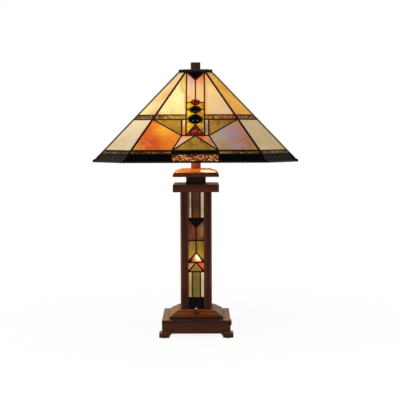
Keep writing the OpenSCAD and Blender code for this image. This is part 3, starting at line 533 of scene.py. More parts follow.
def glass_corner_cream():
    g = Graph("glass_corner_cream")
    wisps = g.noise(20, g.stretched((1, 1, 0.4), (0.4, 0.1, 0.2)), 6, 0.6, 1.8)
    hammer = g.noise(300, g.stretched((1, 1, 0.7), (0.5, 0.2, 0.3)), 3, 0.6)
    tone = g.blend(wisps, 0.75, hammer)
    # The lamp's left and right corner panels differ by painted light: lighter on the left,
    # darker on the right.
    upper = g.split(g.side(), tone, {0.34: "#C99A54", 0.50: "#D0A86E", 0.66: "#DABC8C"},
                    {0.34: "#B88028", 0.50: "#CE9638", 0.66: "#D8A552"})
    lower = g.split(g.side(), tone, {0.34: "#CDB489", 0.50: "#DAC297", 0.66: "#E4D0AA"},
                    {0.30: "#AE9466", 0.50: "#BCA277", 0.70: "#C8B28A"})
    colour = g.mix(g.between(g.part(2), *AT_BAND), lower, upper)
    # Painted light: the left bulb's hot spot on the front-left corner panel.
    warm = g.times(g.near((-0.107, -0.085, 0.502), 0.03), 0.9)
    finish_glass(g, g.mix(warm, colour, "#DECA84"), rough=0.24, ripple=tone, depth=0.0008)


def glass_band():
    g = Graph("glass_band")
    dashes = g.noise(170, g.stretched((1.0, 1.0, 0.8)), 3, 0.6, 1.0)
    colour = g.ramp(g.blend(dashes, 0.85, g.noise(420, detail=2)), {
        0.40: "#1C0804", 0.46: "#50240C", 0.51: "#80481A", 0.56: "#AC7E2C",
        0.65: "#D0A858"})
    colour = g.clouded(colour, [
        (-30, 128, 28, "#C8A240", 0.45), (-84, 128, 18, "#7A4418", 0.4),
        (52, 128, 24, "#A84C14", 0.5), (24, 128, 10, "#8A6A20", 0.4),
        (80, 128, 20, "#7A3010", 0.5)])
    width = g.size(g.across())
    upper = g.between(g.part(2), *ABOVE_SKIRT)
    corner = g.times(g.between(width, 0.086, 0.092), upper)
    colour = g.mix(g.times(corner, 0.5), colour, "#341A0A")
    low = g.math("SUBTRACT", 1.0, upper)
    corner_dim = g.mix(g.side(), "#1A1009", "#3C2A12")
    dim = g.mix(g.between(width, 0.125, 0.140), g.mix(g.half(), "#30140C", "#38200C"),
                corner_dim)
    colour = g.mix(g.times(low, g.ramp(dashes, {0.48: 0.96, 0.62: 0.45})), colour, dim)
    colour = g.clouded(colour, [
        (50, SKIRT_S, 24, "#A8843A", 0.6), (-46, SKIRT_S, 12, "#B88440", 0.7),
        (-84, SKIRT_S, 26, "#5A2814", 0.5)])
    finish_glass(g, colour, ripple=dashes, depth=0.0012, strength=0.6)


def glass_olive():
    g = Graph("glass_olive")
    colour = g.clouded(g.ramp(g.rolled(0.6, 0.5, 80, 1.2, 5), {
        0.34: "#604512", 0.44: "#84621E", 0.55: "#9A7426", 0.68: "#B08C38"}), [
        (-50, 116, 26, "#B48222", 0.7), (-40, 92, 13, "#9E6A20", 0.7),
        (58, 117, 24, "#6C5224", 0.7), (35, 100, 14, "#A87026", 0.7),
        (0, 66, 10, "#9C6C28", 0.6), (28, 46, 16, "#7C5C22", 0.5)], 0.014)
    flecks = g.ramp(g.noise(260, detail=3, rough=0.7), {0.58: 0.0, 0.72: 0.35})
    finish_glass(g, g.mix(flecks, colour, "#54360E"))


def glass_orange_slag():
    g = Graph("glass_orange_slag")
    tone = g.blend(g.rolled(0.22, 0.8, 130, 0.6, 4, -0.5), 0.5,
                   g.rolled(0.30, 0.8, 48, 2.1, 3, -0.5))
    colour = g.split(g.half(), tone, {
        0.36: "#CC581E", 0.44: "#DE7A24", 0.51: "#E68C2A", 0.58: "#F0A636", 0.66: "#F2BE6C"}, {
        0.36: "#8E6038", 0.44: "#A48264", 0.51: "#A08A74", 0.57: "#948482", 0.66: "#C0A47E"})
    colour = g.clouded(colour, [
        (-100, 86, 20, "#D05420", 0.65), (-70, 86, 20, "#F6B02E", 0.75),
        (-118, 48, 15, "#D69C5C", 0.8), (-54, 62, 18, "#E08228", 0.6),
        (48, 66, 20, "#A89878", 0.6), (94, 102, 18, "#AE7A58", 0.7)], 0.012, 60.0)
    colour = g.clouded(colour, [
        (-94, 56, 30, "#BE3A18", 1.0), (-84, 38, 26, "#C23E1A", 0.9),
        (-101, 94, 18, "#CC4E1A", 0.95), (-52, 46, 24, "#D8661E", 0.7),
        (96, 68, 22, "#A85C28", 1.0), (110, 46, 20, "#A05C2A", 1.0),
        (88, 96, 14, "#A8683C", 0.8), (58, 48, 14, "#A06C40", 0.9)], 0.010, 60.0, tone)
    colour = g.clouded(colour, [
        (78, 82, 18, "#8E7C94", 0.8), (84, 48, 16, "#947E86", 0.8),
        (52, 88, 14, "#94888E", 0.6)], 0.010, 60.0, g.rolled(0.25, 0.6, 90, 5.2, 3, -0.5))
    finish_glass(g, colour, rough=0.18)


def glass_pink():
    g = Graph("glass_pink")
    colour = g.ramp(g.rolled(0.07, 0.4, 110, 0.3, 4), {
        0.32: "#CC9A66", 0.46: "#D6AC78", 0.58: "#DCB688", 0.72: "#DFC0A0"})
    finish_glass(g, g.clouded(colour, [
        (-19, 263, 15, "#CC4020", 0.95), (-12, 240, 13, "#B89A92", 0.75),
        (18, 254, 22, "#CA3A12", 0.97), (8, 240, 10, "#D8824C", 0.85),
        (10, 192, 20, "#DDB164", 0.6), (-16, 186, 8, "#CC9248", 0.7),
        (13, 72, 14, "#D2401A", 0.95), (32, 60, 12, "#B4683E", 0.9),
        (-16, 74, 10, "#D89058", 0.8), (-32, 62, 11, "#DDB086", 0.7)], 0.008, 90.0))


def glass_gold():
    g = Graph("glass_gold")
    mottle = g.noise(150, detail=5, rough=0.65, twist=1.0)
    colour = g.split(g.half(0.004), mottle, {
        0.34: "#7C540C", 0.45: "#BC8814", 0.56: "#E0B61C", 0.70: "#F0DC60"}, {
        0.34: "#6A400E", 0.45: "#A87018", 0.56: "#C89022", 0.70: "#D8AE50"})
    finish_glass(g, colour, own=0.38, ripple=mottle, depth=0.0009)


def glass_red():
    g = Graph("glass_red")
    ripples = g.cells(200, g.stretched((1, 1, 0.7)), "SMOOTH_F1")
    colour = g.ramp(ripples, {0.12: "#DC4224", 0.30: "#A42A18", 0.50: "#4E0E0C",
                              0.78: "#18060A"})
    finish_glass(g, colour, own=0.35, rough=0.15, ripple=ripples, depth=0.0014, strength=0.7)


def glass_confetti():
    g = Graph("glass_confetti")
    spot = g.pushed(g.place, 160.0, 0.006)
    chips = g.node("TexVoronoi", {"Vector": spot, "Scale": 240.0}, feature="F1")
    pick = g.first("SeparateColor", {0: chips.outputs["Color"]})
    colour = g.ramp(pick, {0.00: "#42100A", 0.16: "#8E3A12", 0.38: "#BE6A20",
                           0.60: "#DCA04C", 0.76: "#5A1C22", 0.88: "#F0D49A"}, "CONSTANT")
    edge = g.cells(240.0, spot, "DISTANCE_TO_EDGE")
    colour = g.mix(g.ramp(edge, {0.0: 0.8, 0.14: 0.0}), colour, "#2A0C08")
    finish_glass(g, colour, rough=0.25, ripple=edge, depth=0.0008)


def glass_black():
    g = Graph("glass_black")
    colour = g.ramp(g.noise(70, detail=5, twist=1.0), {
        0.35: "#010102", 0.65: "#040306", 0.85: "#0C080B"})
    finish_glass(g, colour, 0.0, own=1.0, power=0.0, rough=0.16, specular=0.012)


def glass_border():
    """Black hammered glass, with painted light on the corner panels: brown-grey, glowing, darker
    on the right.
    """
    g = Graph("glass_border")
    x, y, _ = g.parts(g.normal)
    # Painted light: the same black glass lit brown-grey and glowing on the corner panels.
    corner = g.math("MULTIPLY", g.size(g.times(x, y)), 5.0, clamp=True)
    hammer = g.noise(330, g.stretched((1, 1, 0.7), (0.3, 0.4, 0)), 3, 0.7)
    black = g.ramp(hammer, {0.35: "#010101", 0.70: "#060404"})
    brown = g.ramp(hammer, {0.34: "#0C0805", 0.50: "#1C150D", 0.66: "#3A2E1C"})
    # Painted shade on the corner panels to the lamp's right.
    brown = g.mix(g.times(g.side(), 0.7), brown, "#070505")
    colour = g.mix(corner, black, brown)
    g.set(Base_Color=g.scaled(colour, 0.8), Emission_Color=g.scaled(colour, corner),
          Emission_Strength=0.25, Specular_IOR_Level=0.012,
          Roughness=g.varied(0.14, 0.34, hammer))
    g.bump(hammer, 0.5, 0.0007)


def jewel_glass(name, deep, bright, glow, painted_marks):
    """Cut glass stone, darker where it is thick; marks are clouds of light or shade in it."""
    g = Graph(name)
    swirl = g.noise(260, detail=4, twist=1.5)
    rim = g.node("LayerWeight", {"Blend": 0.35}).outputs["Facing"]
    colour = g.ramp(g.blend(swirl, 0.7, rim), {0.28: deep, 0.62: bright})
    colour = g.clouded(colour, painted_marks, 0.001, 300.0)
    g.set(Base_Color=g.scaled(colour, 0.6), Emission_Color=colour, Emission_Strength=glow,
          Roughness=g.varied(0.03, 0.09, swirl), Specular_IOR_Level=0.015)
    g.bump(swirl, 0.1, 0.0002)


def painted_glints(jewel, across, low, out):
    """Two small painted highlights low in a dark stone."""
    at, r = jewel
    return [(side * across * r, at - low * r, out, 1.15, "#8890A8", 0.85) for side in (-1, 1)]


def window_glass(name, stops, clouds=(), gilt=None, near=0.35, own=0.4, specular=0.06):
    """Glass of the column's windows. gilt is a tint down the outer edges of its left pieces."""
    g = Graph("column_glass_" + name)
    streaks = g.noise(60, g.stretched((1, 1, 0.4)), 5, 0.6, 1.4)
    colour = g.clouded(g.ramp(streaks, stops), clouds, 0.006, 90.0, where=on_window)
    if gilt:
        edge = g.between(g.across(), -0.0126, -0.0150)
        tint = g.mix(g.between(g.part(2), 0.2, 0.25), gilt, "#5E4426")
        colour = g.mix(g.times(edge, 0.85), colour, tint)
    finish_glass(g, colour, window_glow(g, near), own=own, specular=specular)


def window_amber():
    """The lit triangle has the night light's hot spot behind it."""
    g = Graph("column_glass_amber")
    streaks = g.noise(80, g.stretched((1, 1, 0.6)), detail=5, twist=1.2)
    colour = g.ramp(streaks, {0.32: "#BC602C", 0.50: "#DC8848", 0.68: "#ECA46C"})
    colour = g.clouded(colour, [(-10, 97, 9, "#FF9C60", 1.0), (13, 108, 5, "#C86A1C", 0.9)],
                       0.003, 150.0, where=on_window)
    spot = g.math("MAXIMUM", g.near(NIGHT_LIGHT, 0.0052, g.facing()),
                  g.near(on_window(1.4, 119.5), 0.0032, g.facing()))
    halo = g.times(g.near(NIGHT_LIGHT, 0.0085, g.facing()), 0.85)
    colour = g.mix(halo, colour, "#FFB040")
    colour = g.mix(g.math("MULTIPLY", spot, 1.7, clamp=True), colour, "#FFEAB4")
    colour = g.clouded(colour, [(-13, 109.5, 7, "#120602", 1.0)], 0.001, 150.0,
                       where=on_window)
    finish_glass(g, colour, g.math("MULTIPLY_ADD", spot, 0.8, 0.55))


def plain(name, dark, light, rough, scale, sheen=0.0, strength=0.3):
    """Felt, board, plastic and the like: mottled, with a fine bump."""
    g = Graph(name)
    grain = g.noise(scale, detail=6, rough=0.7)
    broad = g.noise(scale / 9, detail=3)
    g.set(Base_Color=g.ramp(g.blend(grain, 0.6, broad), {0.3: dark, 0.7: light}),
          Roughness=g.varied(rough - 0.1, rough + 0.1, broad), Specular_IOR_Level=0.3,
          Sheen_Weight=sheen)
    g.bump(grain, strength, 0.0003)


def lit_bulb(name, necks, reach):
    """Frosted warm glass, darker and more amber by its neck."""
    g = Graph(name)
    frost = g.noise(400, detail=4)
    colour = g.mix(g.times(g.noise(70, detail=3), 0.5),
                   g.ramp(frost, {0.3: "#FFCE7C", 0.7: "#FFDC98"}), "#FFE8B8")
    for neck in necks:
        colour = g.mix(g.times(g.near(neck, reach), 0.9), colour, "#B86A20")
    g.set(Base_Color=g.scaled(colour, 0.25), Emission_Color=colour, Emission_Strength=0.9,
          Roughness=g.varied(0.25, 0.4, frost))
    g.bump(frost, 0.1, 0.0001)


# The colours given below for upward faces, side slopes, upright faces and post edges are painted
# light and shade; foot adds painted shade low on the posts.
for name, axis, seed in (("wood_x", 0, 0.3), ("wood_y", 1, 0.9)):
    wood(name, "#1A0A05", "#301609", "#48210F", axis, seed, lit_tops=("#9A6A2E", 0.052, 0.066))
wood("wood_slab", "#2E1108", "#4E2212", "#683218", 0, 1.3, lit_tops=("#F0BE7C", 0.018, 0.032))
wood("wood_z", "#200B06", "#3E1B0E", "#5C2C16", 2, 1.7, corners=(34.0, "#9A5A2C"),
     foot=(0.125, 0.085))
wood("wood_plinth", "#3E1A0B", "#602E12", "#7A3E18", 0, 2.4, lit_tops=("#8A6230", 0.0, 0.02),
     sides="#8E6026", shaded_steep="#1C0B05")
wood("wood_capital", "#7A4418", "#985C28", "#AC7030", 0, 3.1, rough=0.34, pore=0.1,
     sides="#FFD898", shaded_steep="#341006", polish=0.7)
wood("wood_stem", "#5C2A12", "#925026", "#A8642E", 2, 4.2)
wood("wood_neck", "#24130F", "#402620", "#54362A", 0, 5.6)
wood("wood_finial", "#1E0E07", "#341A0A", "#4A2812", 2, 6.3)

metal("came", "#0A0605", "#1C100A", 0.42, 0.6, lit="#5A260C")
metal("solder", "#0C0706", "#20120B", 0.36, 0.5, lit="#6A2E10")
metal("solder_fold", "#0A0605", "#1C110B", 0.40, 0.5, lit="#5A260C", edge="#6E5438")
metal("cap_metal", "#10120C", "#24261C", 0.40, 0.5)
metal("brass", "#7A5526", "#C89A50", 0.24, 0.5)
# Painted shade on the knob's collar and waist, a painted teal glint on the collar and a painted
# highlight on top of the ball.
metal("brass_turned", "#4A2E18", "#80583A", 0.24, 0.5, (1, 1, 6), painted_marks=[
    ((0, -0.0522, 0.0534), 0.0062, "#0C1310", 1.0),
    ((0, -0.0552, 0.0578), 0.0024, "#140C08", 0.9),
    ((0.0015, -0.0535, 0.0575), 0.0012, "#3A4C44", 0.5),
    ((-0.0006, -0.0602, 0.0640), 0.0022, "#B88458", 0.9)])
metal("copper", "#5C2C18", "#A05C38", 0.32)
metal("steel", "#7A7872", "#B8B6AE")

plain("felt", "#141E15", "#263828", 0.95, 900, sheen=0.3, strength=0.8)
plain("hardboard", "#4A3222", "#6E4E36", 0.75, 500)
plain("bushing", "#100F0E", "#1C1A18", 0.45, 700)
plain("socket_white", "#D8D2C2", "#E8E4D8", 0.35, 200)

for make_glass in (glass_cream, glass_corner_cream, glass_band, glass_olive, glass_orange_slag,
                   glass_pink, glass_gold, glass_red, glass_confetti, glass_black,
                   glass_border, window_amber):
    make_glass()
jewel_glass("jewel_red", "#7A0A0C", "#E8281C", 0.45, [
    (0, 171.5, 2.2, 4.8, "#0C0002", 1.0), (0, 165.6, 1.0, 3.0, "#280406", 0.9),
    (-4.2, 171.5, 1.2, 1.4, "#F03824", 0.6)])
# Painted highlights, two low in each black stone.
jewel_glass("jewel_black", "#010103", "#050509", 0.3,
            painted_glints(JEWELS[0], 0.40, 0.56, 2.2) + painted_glints(JEWELS[1], 0.37, 0.85, 2.0))
window_glass("white", {0.30: "#DCC8A4", 0.50: "#F6E6C2", 0.70: "#FFF8E4"}, [
    (15, 222, 20, "#C8B264", 0.7), (15, 252, 14, "#DCCBA4", 0.5),
    (-13, 240, 16, "#A08C74", 0.7), (-15, 50, 28, "#CC982C", 0.85)], gilt="#B8862E")
window_glass("brown", {
    0.30: "#4A2416", 0.48: "#6C3A22", 0.62: "#84502C", 0.76: "#9C6C48"}, [
    (0, 235, 24, "#4A2C1C", 0.9), (-12, 178, 14, "#6E3A20", 0.6),
    (14, 180, 8, "#A8845A", 0.8), (14, 168, 7, "#A07850", 0.7),
    (4, 176, 6, "#9C4424", 0.8)])
window_glass("green", {
    0.30: "#6A5220", 0.50: "#8A6A28", 0.68: "#A08034", 0.80: "#AC9048"}, [
    (0, 52, 22, "#706A2E", 0.85), (-13, 126, 12, "#B4842A", 0.7),
    (12, 122, 9, "#C07C20", 0.8), (13, 150, 10, "#7A6420", 0.5)])
window_glass("red", {0.30: "#D0401E", 0.52: "#FA5A34", 0.72: "#FF8458"})
window_glass("black", {0.35: "#0A090C", 0.70: "#16121A"}, near=0.0, own=0.5,
             specular=0.012)


def dress(name, material):
    """Gives a CAD node that stays its finished material."""
    for slot in nodes[name].material_slots:
        slot.material = MATERIALS[material]


# -------- mesh helpers


def linked(name, data):
    """A new object of the scene."""
    made = bpy.data.objects.new(name, data)
    bpy.context.scene.collection.objects.link(made)
    return made


def add_piece(name, bm, body, slot, replaced=(), materials=(), smooth=35, weighted=False):
    """Turns a bmesh into a piece that rides on a body. Its material is named like its slot,
    where materials doesn't say."""
    bmesh.ops.recalc_face_normals(bm, faces=bm.faces)
    mesh = bpy.data.meshes.new(name)
    bm.to_mesh(mesh)
    bm.free()
    for m in materials or [slot]:
        mesh.materials.append(MATERIALS[m])
    mesh.polygons.foreach_set("use_smooth", [smooth > 0] * len(mesh.polygons))
    if smooth > 0:
        mesh.set_sharp_from_angle(angle=radians(smooth))
    made = linked(name, mesh)
    if weighted:
        made.modifiers.new("weighted", "WEIGHTED_NORMAL").keep_sharp = True
    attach(made, body)
    if replaced:
        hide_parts(*replaced)
    return made


def cad_copy(*names):
    """The named CAD nodes in one bmesh, with flat faces joined and touching corners merged."""
    bm = bmesh.new()
    for name in names:
        bm.from_mesh(nodes[name].data)
    bmesh.ops.remove_doubles(bm, verts=bm.verts, dist=2e-6)
    bmesh.ops.dissolve_limit(bm, angle_limit=radians(0.6), verts=bm.verts, edges=bm.edges)
    return bm


def soften(bm, width, least):
    """Rounds the edges that turn by at least that many degrees."""
    sharp = [e for e in bm.edges
             if len(e.link_faces) == 2 and e.calc_face_angle(0) > radians(least)]
    bmesh.ops.bevel(bm, geom=sharp, offset=width, segments=3, profile=0.5, affect="EDGES",
                    clamp_overlap=True)
    return bm


def softened_piece(node, name, width, slot, material, body="lamp", least=30):
    """A CAD node's own shape with rounded edges."""
    return add_piece(name, soften(cad_copy(node), width, least), body, slot, [node],
                     [material], weighted=True)


def lathe(bm, profile, matrix, steps=48, shape=None):
    """Turns a profile of (radius, height) round Z; shape(angle, r, z) may change the radius."""
    rings = []
    for r, z in profile:
        if r < 1e-7:
            rings.append([bm.verts.new((0, 0, z))] * steps)
            continue
        ring = []
        for i in range(steps):
            a = 2 * pi * i / steps
            q = shape(a, r, z) if shape else r
            ring.append(bm.verts.new((q * cos(a), q * sin(a), z)))
        rings.append(ring)
    for one, two in zip(rings, rings[1:]):
        for i in range(steps):
            k = (i + 1) % steps
            corners = list(dict.fromkeys((one[i], one[k], two[k], two[i])))
            if len(corners) > 2:
                bm.faces.new(corners)
    turned = list(dict.fromkeys(v for ring in rings for v in ring))
    bmesh.ops.transform(bm, matrix=matrix, verts=turned)
    return bm


def sweep(bm, sections, closed=False):
    """Skins a list of sections, each a list of points. Ends are closed by flat faces."""
    rows = [[bm.verts.new(p) for p in section] for section in sections]
    for one, two in zip(rows, rows[1:] + rows[:1] if closed else rows[1:]):
        n = len(one)
        for i in range(n):
            k = (i + 1) % n
            bm.faces.new((one[i], one[k], two[k], two[i]))
    if not closed:
        bm.faces.new(rows[0])
        bm.faces.new(list(reversed(rows[-1])))


def wobble(point, scale, seed):
    """Smooth noise between -1 and 1 at a place, the same at every run."""
    return noise.noise(Vector(point) * scale + Vector((seed, seed, seed)))


# -------- leaded panels


def both_sides(lines):
    """Lines and their mirror images, apart from those that lie on the middle."""
    return lines + [((-a[0], a[1]), (-b[0], b[1])) for a, b in lines
                    if abs(a[0]) > 1e-6 or abs(b[0]) > 1e-6]


def panel_lines():
    """The solder lines of a patterned panel, as pairs of (across, up)."""
    def edge(s):
        return half_at(PANEL_W, PANEL_TOP_W, SLOPE_L, s) - SEAM_W, s
    fan, foot, crown = (STRIP_U, FAN_S), (FOOT_U, SKIRT_S), SLOPE_L - 1
    lines = [
        ((0, BORDER_S), edge(BORDER_S)), ((0, SKIRT_S), edge(SKIRT_S)), ((0, FAN_S), fan),
        ((MID_U, BAND_LO_S), edge(BAND_LO_S)), ((MID_U, BAND_HI_S), edge(BAND_HI_S)),
        ((FOOT_U, RIM_BAND_S), foot), (fan, (STRIP_U, BAND_LO_S)),
        ((MID_U, FAN_S), (MID_U, crown)), ((0, FAN_S), foot), (fan, foot),
        (fan, edge(BAND_LO_S)), ((MID_U, FAN_S), (0, RED_TIP_S)),
        ((0, DART_TIP_S), (MID_U, crown))]
    lines += [((r + JEWEL_CAME, at), (MID_U, at)) for at, r in JEWELS]
    spine = [RED_TIP_S] + [at + step * r for at, r in JEWELS for step in (-1, 1)]
    spine.append(DART_TIP_S)
    return both_sides(lines + [((0, a), (0, b)) for a, b in zip(spine[::2], spine[1::2])])


def corner_lines():
    """The solder lines of a corner panel."""
    lift = sin(SLOPE_A) / sin(CORNER_A)
    found = []
    for s in (BORDER_S, SKIRT_S, BAND_LO_S, BAND_HI_S):
        w = half_at(CORNER_W, CORNER_TOP_W, CORNER_L, s * lift) - SEAM_W
        found.append(((-w, s * lift), (w, s * lift)))
    return found


class Face:
    """The outer or the inner face of a leaded panel, on which solder is laid."""

    def __init__(self, bm, matrix, level, out, tall):
        self.bm, self.matrix, self.level, self.out, self.tall = bm, matrix, level, out, tall

    def bead(self, rows, arc=6, closed=False):
        """Skins rows of (middle, across, width, height): half ovals, sunk in a little."""
        out = Vector((0, 0, self.out))
        sweep(self.bm, [[self.matrix @ (at + across * (w / 2 * cos(pi * i / arc))
                                        + out * (h * sin(pi * i / arc) - 0.15))
                         for i in range(arc + 1)] for at, across, w, h in rows], closed)

    def line(self, a, b, width, seed):
        """A bead along one line, uneven as hand work is."""
        a, b = Vector((*a, self.level)), Vector((*b, self.level))
        across = (b - a).normalized().cross(Vector((0, 0, 1)))
        steps = max(2, int((b - a).length / 5))
        rows = []
        for i in range(steps + 1):
            at = a + (b - a) * i / steps
            swell = 1 + 0.10 * wobble(at, 0.11, seed) + 0.05 * wobble(at, 0.4, seed + 7)
            rows.append((at, across, width * swell, self.tall * (2 - swell)))
        self.bead(rows)

    def blob(self, at, radius):
        """A low dome where lines meet."""
        rings = 3
        profile = [(radius * cos(pi / 2 * i / rings),
                    self.tall * 1.12 * sin(pi / 2 * i / rings) - 0.12)
                   for i in range(rings + 1)]
        turn = Matrix.Translation((*at, self.level)) @ Matrix.Scale(self.out, 4, (0, 0, 1))
        lathe(self.bm, profile, self.matrix @ turn, 10,
              lambda angle, r, z: r * (1 + 0.08 * sin(angle * 2 + at[0])))

    def ring(self, at, radius, width):
        """A round bead at a jewel's edge."""
        steps = 36
        rows = []
        for i in range(steps):
            a = 2 * pi * i / steps
            way = Vector((cos(a), sin(a), 0))
            rows.append((Vector((0, at, self.level)) + way * radius, way,
                         width * (1 + 0.06 * sin(3 * a + at)), self.tall * 1.1))
        self.bead(rows, closed=True)

    def eye(self, at, radius, reach):
        """Solder drawn out to a point on both sides of a jewel, like the corners of an eye."""
        start, last = radius - 1.2, 7
        for side in (-1, 1):
            rows = []
            for i in range(last + 1):
                x = start + (reach - radius + 1.2) * i / last
                wide = 0.6 + (0.95 * radius - 0.6) * (1 - i / last) ** 1.8
                rows.append((Vector((side * x, at, self.level)), Vector((0, side, 0)),
                             2 * wide, self.tall * (1 - 0.35 * i / last)))
            self.bead(rows, arc=8)


def solder_panel(bm, matrix, lines, rings=(), width=CAME_W + 0.3, height=0.95, seed=0.0):
    """All beads of one panel, on its outer and its inner face."""
    ends = sorted({(round(p[0], 3), round(p[1], 3)) for line in lines for p in line})
    for level, out, tall in ((0.0, 1.0, height), (-CAME_T, -1.0, height * 0.7)):
        face = Face(bm, matrix, level, out, tall)
        for i, (a, b) in enumerate(lines):
            heavy = 1.5 if a[1] == b[1] == SKIRT_S else 1.0
            if a[0] == b[0] == 0 or a[1] == b[1] and a[1] in (at for at, _ in rings):
                heavy = 0.7
            face.line(a, b, width * heavy, seed + i)
        for p in ends:
            face.blob(p, width * 0.62)
        for at, r in rings:
            face.ring(at, r + JEWEL_CAME / 2 + 0.2, JEWEL_CAME + 1.4)
            face.eye(at, r + JEWEL_CAME, r * 0.75 + 9.0)


def solder_piece(name, frames, seeds, lines, body="shade", **style):
    """The beads of one or more panels of the same pattern, each uneven in its own way."""
    beads = bmesh.new()
    for matrix, seed in zip(frames, seeds):
        solder_panel(beads, matrix, lines, seed=seed, **style)
    add_piece("solder_lines_" + name, beads, body, "solder", smooth=60)


SIDES = ("front", "right", "back", "left")
for side, label in enumerate(SIDES):
    solder_piece(label, [panel_frame(side)], [10.0 * side], panel_lines(), rings=JEWELS)
solder_piece("corners", [panel_frame(k, corner=True) for k in range(4)], (50, 60, 70, 80),
             corner_lines())


def fold_solder():
    """The eight soldered folds: a wedge between two panels under a hand-run bead."""
    flat = Vector((0, -sin(SLOPE_A), cos(SLOPE_A)))
    lean = sin(CORNER_A) / sqrt(2)
    corner = Vector((lean, -lean, cos(CORNER_A)))
    foot = Vector((PANEL_W / 2, -RIM_R, RIM_Z))
    head = Vector((PANEL_TOP_W / 2, -TOP_R, CAP_Z))
    along = (head - foot).normalized()
    out = (flat + corner).normalized()
    across = out.cross(along)
    half = flat.angle(corner) / 2
    edge = Vector((SEAM_W * cos(half), -SEAM_W * sin(half)))
    root = edge - CAME_T * Vector((sin(half), cos(half)))
    bm = bmesh.new()
    steps, arc = 40, 12
    for k in range(4):
        for flip in (1, -1):
            turn = (TO_M @ Matrix.Rotation(pi / 2 * k, 4, "Z")
                    @ Matrix.Diagonal((flip, 1, 1, 1)))
            sections = []
            for i in range(steps + 1):
                at = foot + (head - foot) * i / steps
                swell = 1.06 + 0.08 * wobble(at * flip, 0.09, k + 3.0)
                section = []
                for j in range(arc + 1):
                    a = -half + (pi + 2 * half) * j / arc
                    r = SEAM_W * (1 - (1 - swell) * sin(pi * j / arc))
                    section.append(at + across * (r * cos(a)) + out * (r * sin(a)))
                section += [at + side * across * root.x + out * root.y for side in (-1, 1)]
                sections.append([turn @ p for p in section])
                for p in sections[-1]:
                    p.z = min(max(p.z, RIM_Z * MM), CAP_Z * MM)
            sweep(bm, sections)
    return bm


folds = add_piece("fold_solder", fold_solder(), "shade", "solder", ["fold_seams"],
                  ["solder_fold"], smooth=50)


def cut_stone(bm, matrix, r, facets):
    """Faceted round stone: girdle, two rows of facets and a flat table."""
    rise = 0.42 * r
    low, high = -3.1, -0.5
    # radius, height and turn by half a facet of each ring of corners
    rows = [(0.55 * r, low - 0.2 * r, 0.0), (r, low, 0.5), (r, high, 0.5),
            (0.88 * r, high + 0.42 * rise, 0.0), (0.62 * r, high + 0.80 * rise, 0.5),
            (0.30 * r, high + 0.97 * rise, 0.0)]
    rings = []
    for q, z, shift in rows:
        turns = [2 * pi * (i + shift) / facets for i in range(facets)]
        rings.append([bm.verts.new(matrix @ Vector((q * cos(a), q * sin(a), z)))
                      for a in turns])
    for one, two, (_, _, shift), (_, _, later) in zip(rings, rings[1:], rows, rows[1:]):
        for i in range(facets):
            k = (i + 1) % facets
            if shift == later:
                bm.faces.new((one[i], one[k], two[k], two[i]))
            elif shift > later:
                bm.faces.new((one[i], one[k], two[k]))
                bm.faces.new((one[i], two[k], two[i]))
            else:
                bm.faces.new((one[i], one[k], two[i]))
                bm.faces.new((one[k], two[k], two[i]))
    bm.faces.new(list(reversed(rings[0])))
    bm.faces.new(rings[-1])


def stones(colour, jewels, facets):
    bm = bmesh.new()
    for k in range(4):
        for at, r in jewels:
            cut_stone(bm, panel_frame(k) @ Matrix.Translation((0, at, 0)), r, facets)
    jewel = "jewel_" + colour
    return add_piece("stones_" + colour, bm, "shade", jewel, ["jewels_" + colour], smooth=0)


red_stones = stones("red", JEWELS[2:], 10)
black_stones = stones("black", JEWELS[:2], 14)

for glass in ("cream", "corner_cream", "band", "olive", "orange_slag", "pink", "gold", "red",
              "confetti", "black", "border"):
    dress("glass_" + glass, "glass_" + glass)
for label in SIDES:
    dress("panel_came_" + label, "came")
dress("corner_cames", "came")

rim = softened_piece("rim_band", "rim_came", 0.0009, "came", "came", "shade")
softened_piece("shade_cap", "cap_plate", 0.0008, "cap_metal", "cap_metal", "shade", 20)
RIM_REACH = 217.6
# The drops to the left of the middle: image point, carrier, radius
DROPS = (("drop_rim_end", rim, 3.0), ("drop_rim_fold", rim, 1.8), ("drop_band_fold", folds, 2.1))


def drop_middle(point, carrier, r):
    """The middle of a drop in mm, which reaches no further out than the rim."""
    found = place(*POINTS[point], carrier) / MM
    return Vector((max(found.x, r - RIM_REACH), found.y, found.z))


def solder_drops():
    """Drops left by hand soldering: at the rim's ends and folds, and where the band meets."""
    bm = bmesh.new()
    for drop in DROPS:
        left, r = drop_middle(*drop), drop[2]
        for side in (1, -1):
            at = Vector((left.x * side, left.y, left.z))
            made = bmesh.ops.create_icosphere(bm, subdivisions=2, radius=1.0)["verts"]
            for v in made:
                swell = 1 + 0.14 * wobble(v.co, 1.3, at.x)
                v.co = (at + Vector((v.co.x, v.co.y * 0.7, v.co.z)) * r * swell) * MM
    return bm


drops = add_piece("solder_drops", solder_drops(), "shade", "solder", smooth=80)

# -------- the column's windows


def window_lines():
    """The solder lines of a column window."""
    edge = WINDOW_HALF - 0.4
    _, foot, strips, flame, night, dart, head = ROWS
    return both_sides([((0, z), (edge, z)) for z in ROWS[1:6]] + [
        ((STRIP_X, foot), (STRIP_X, strips)), ((STRIP_X, dart), (STRIP_X, head)),
        ((0, flame), (edge, strips)), ((0, flame + FLAME_H), (edge, flame)),
        ((0, flame + FLAME_H), (0, night)), ((0, night), (0, dart - DART_H)),
        ((0, dart - DART_H), (edge, dart)),
    ])


solder_piece("column", [window_frame(k) for k in range(4)], (90, 91, 92, 93),
             window_lines(), "lamp", width=2.2, height=0.7)
dress("column_cames", "came")
for glass in ("white", "brown", "green", "amber", "red", "black"):
    dress("column_glass_" + glass, "column_glass_" + glass)

# -------- woodwork and fittings

BOX_SIDES = ["box_front", "box_right", "box_back", "box_left"]


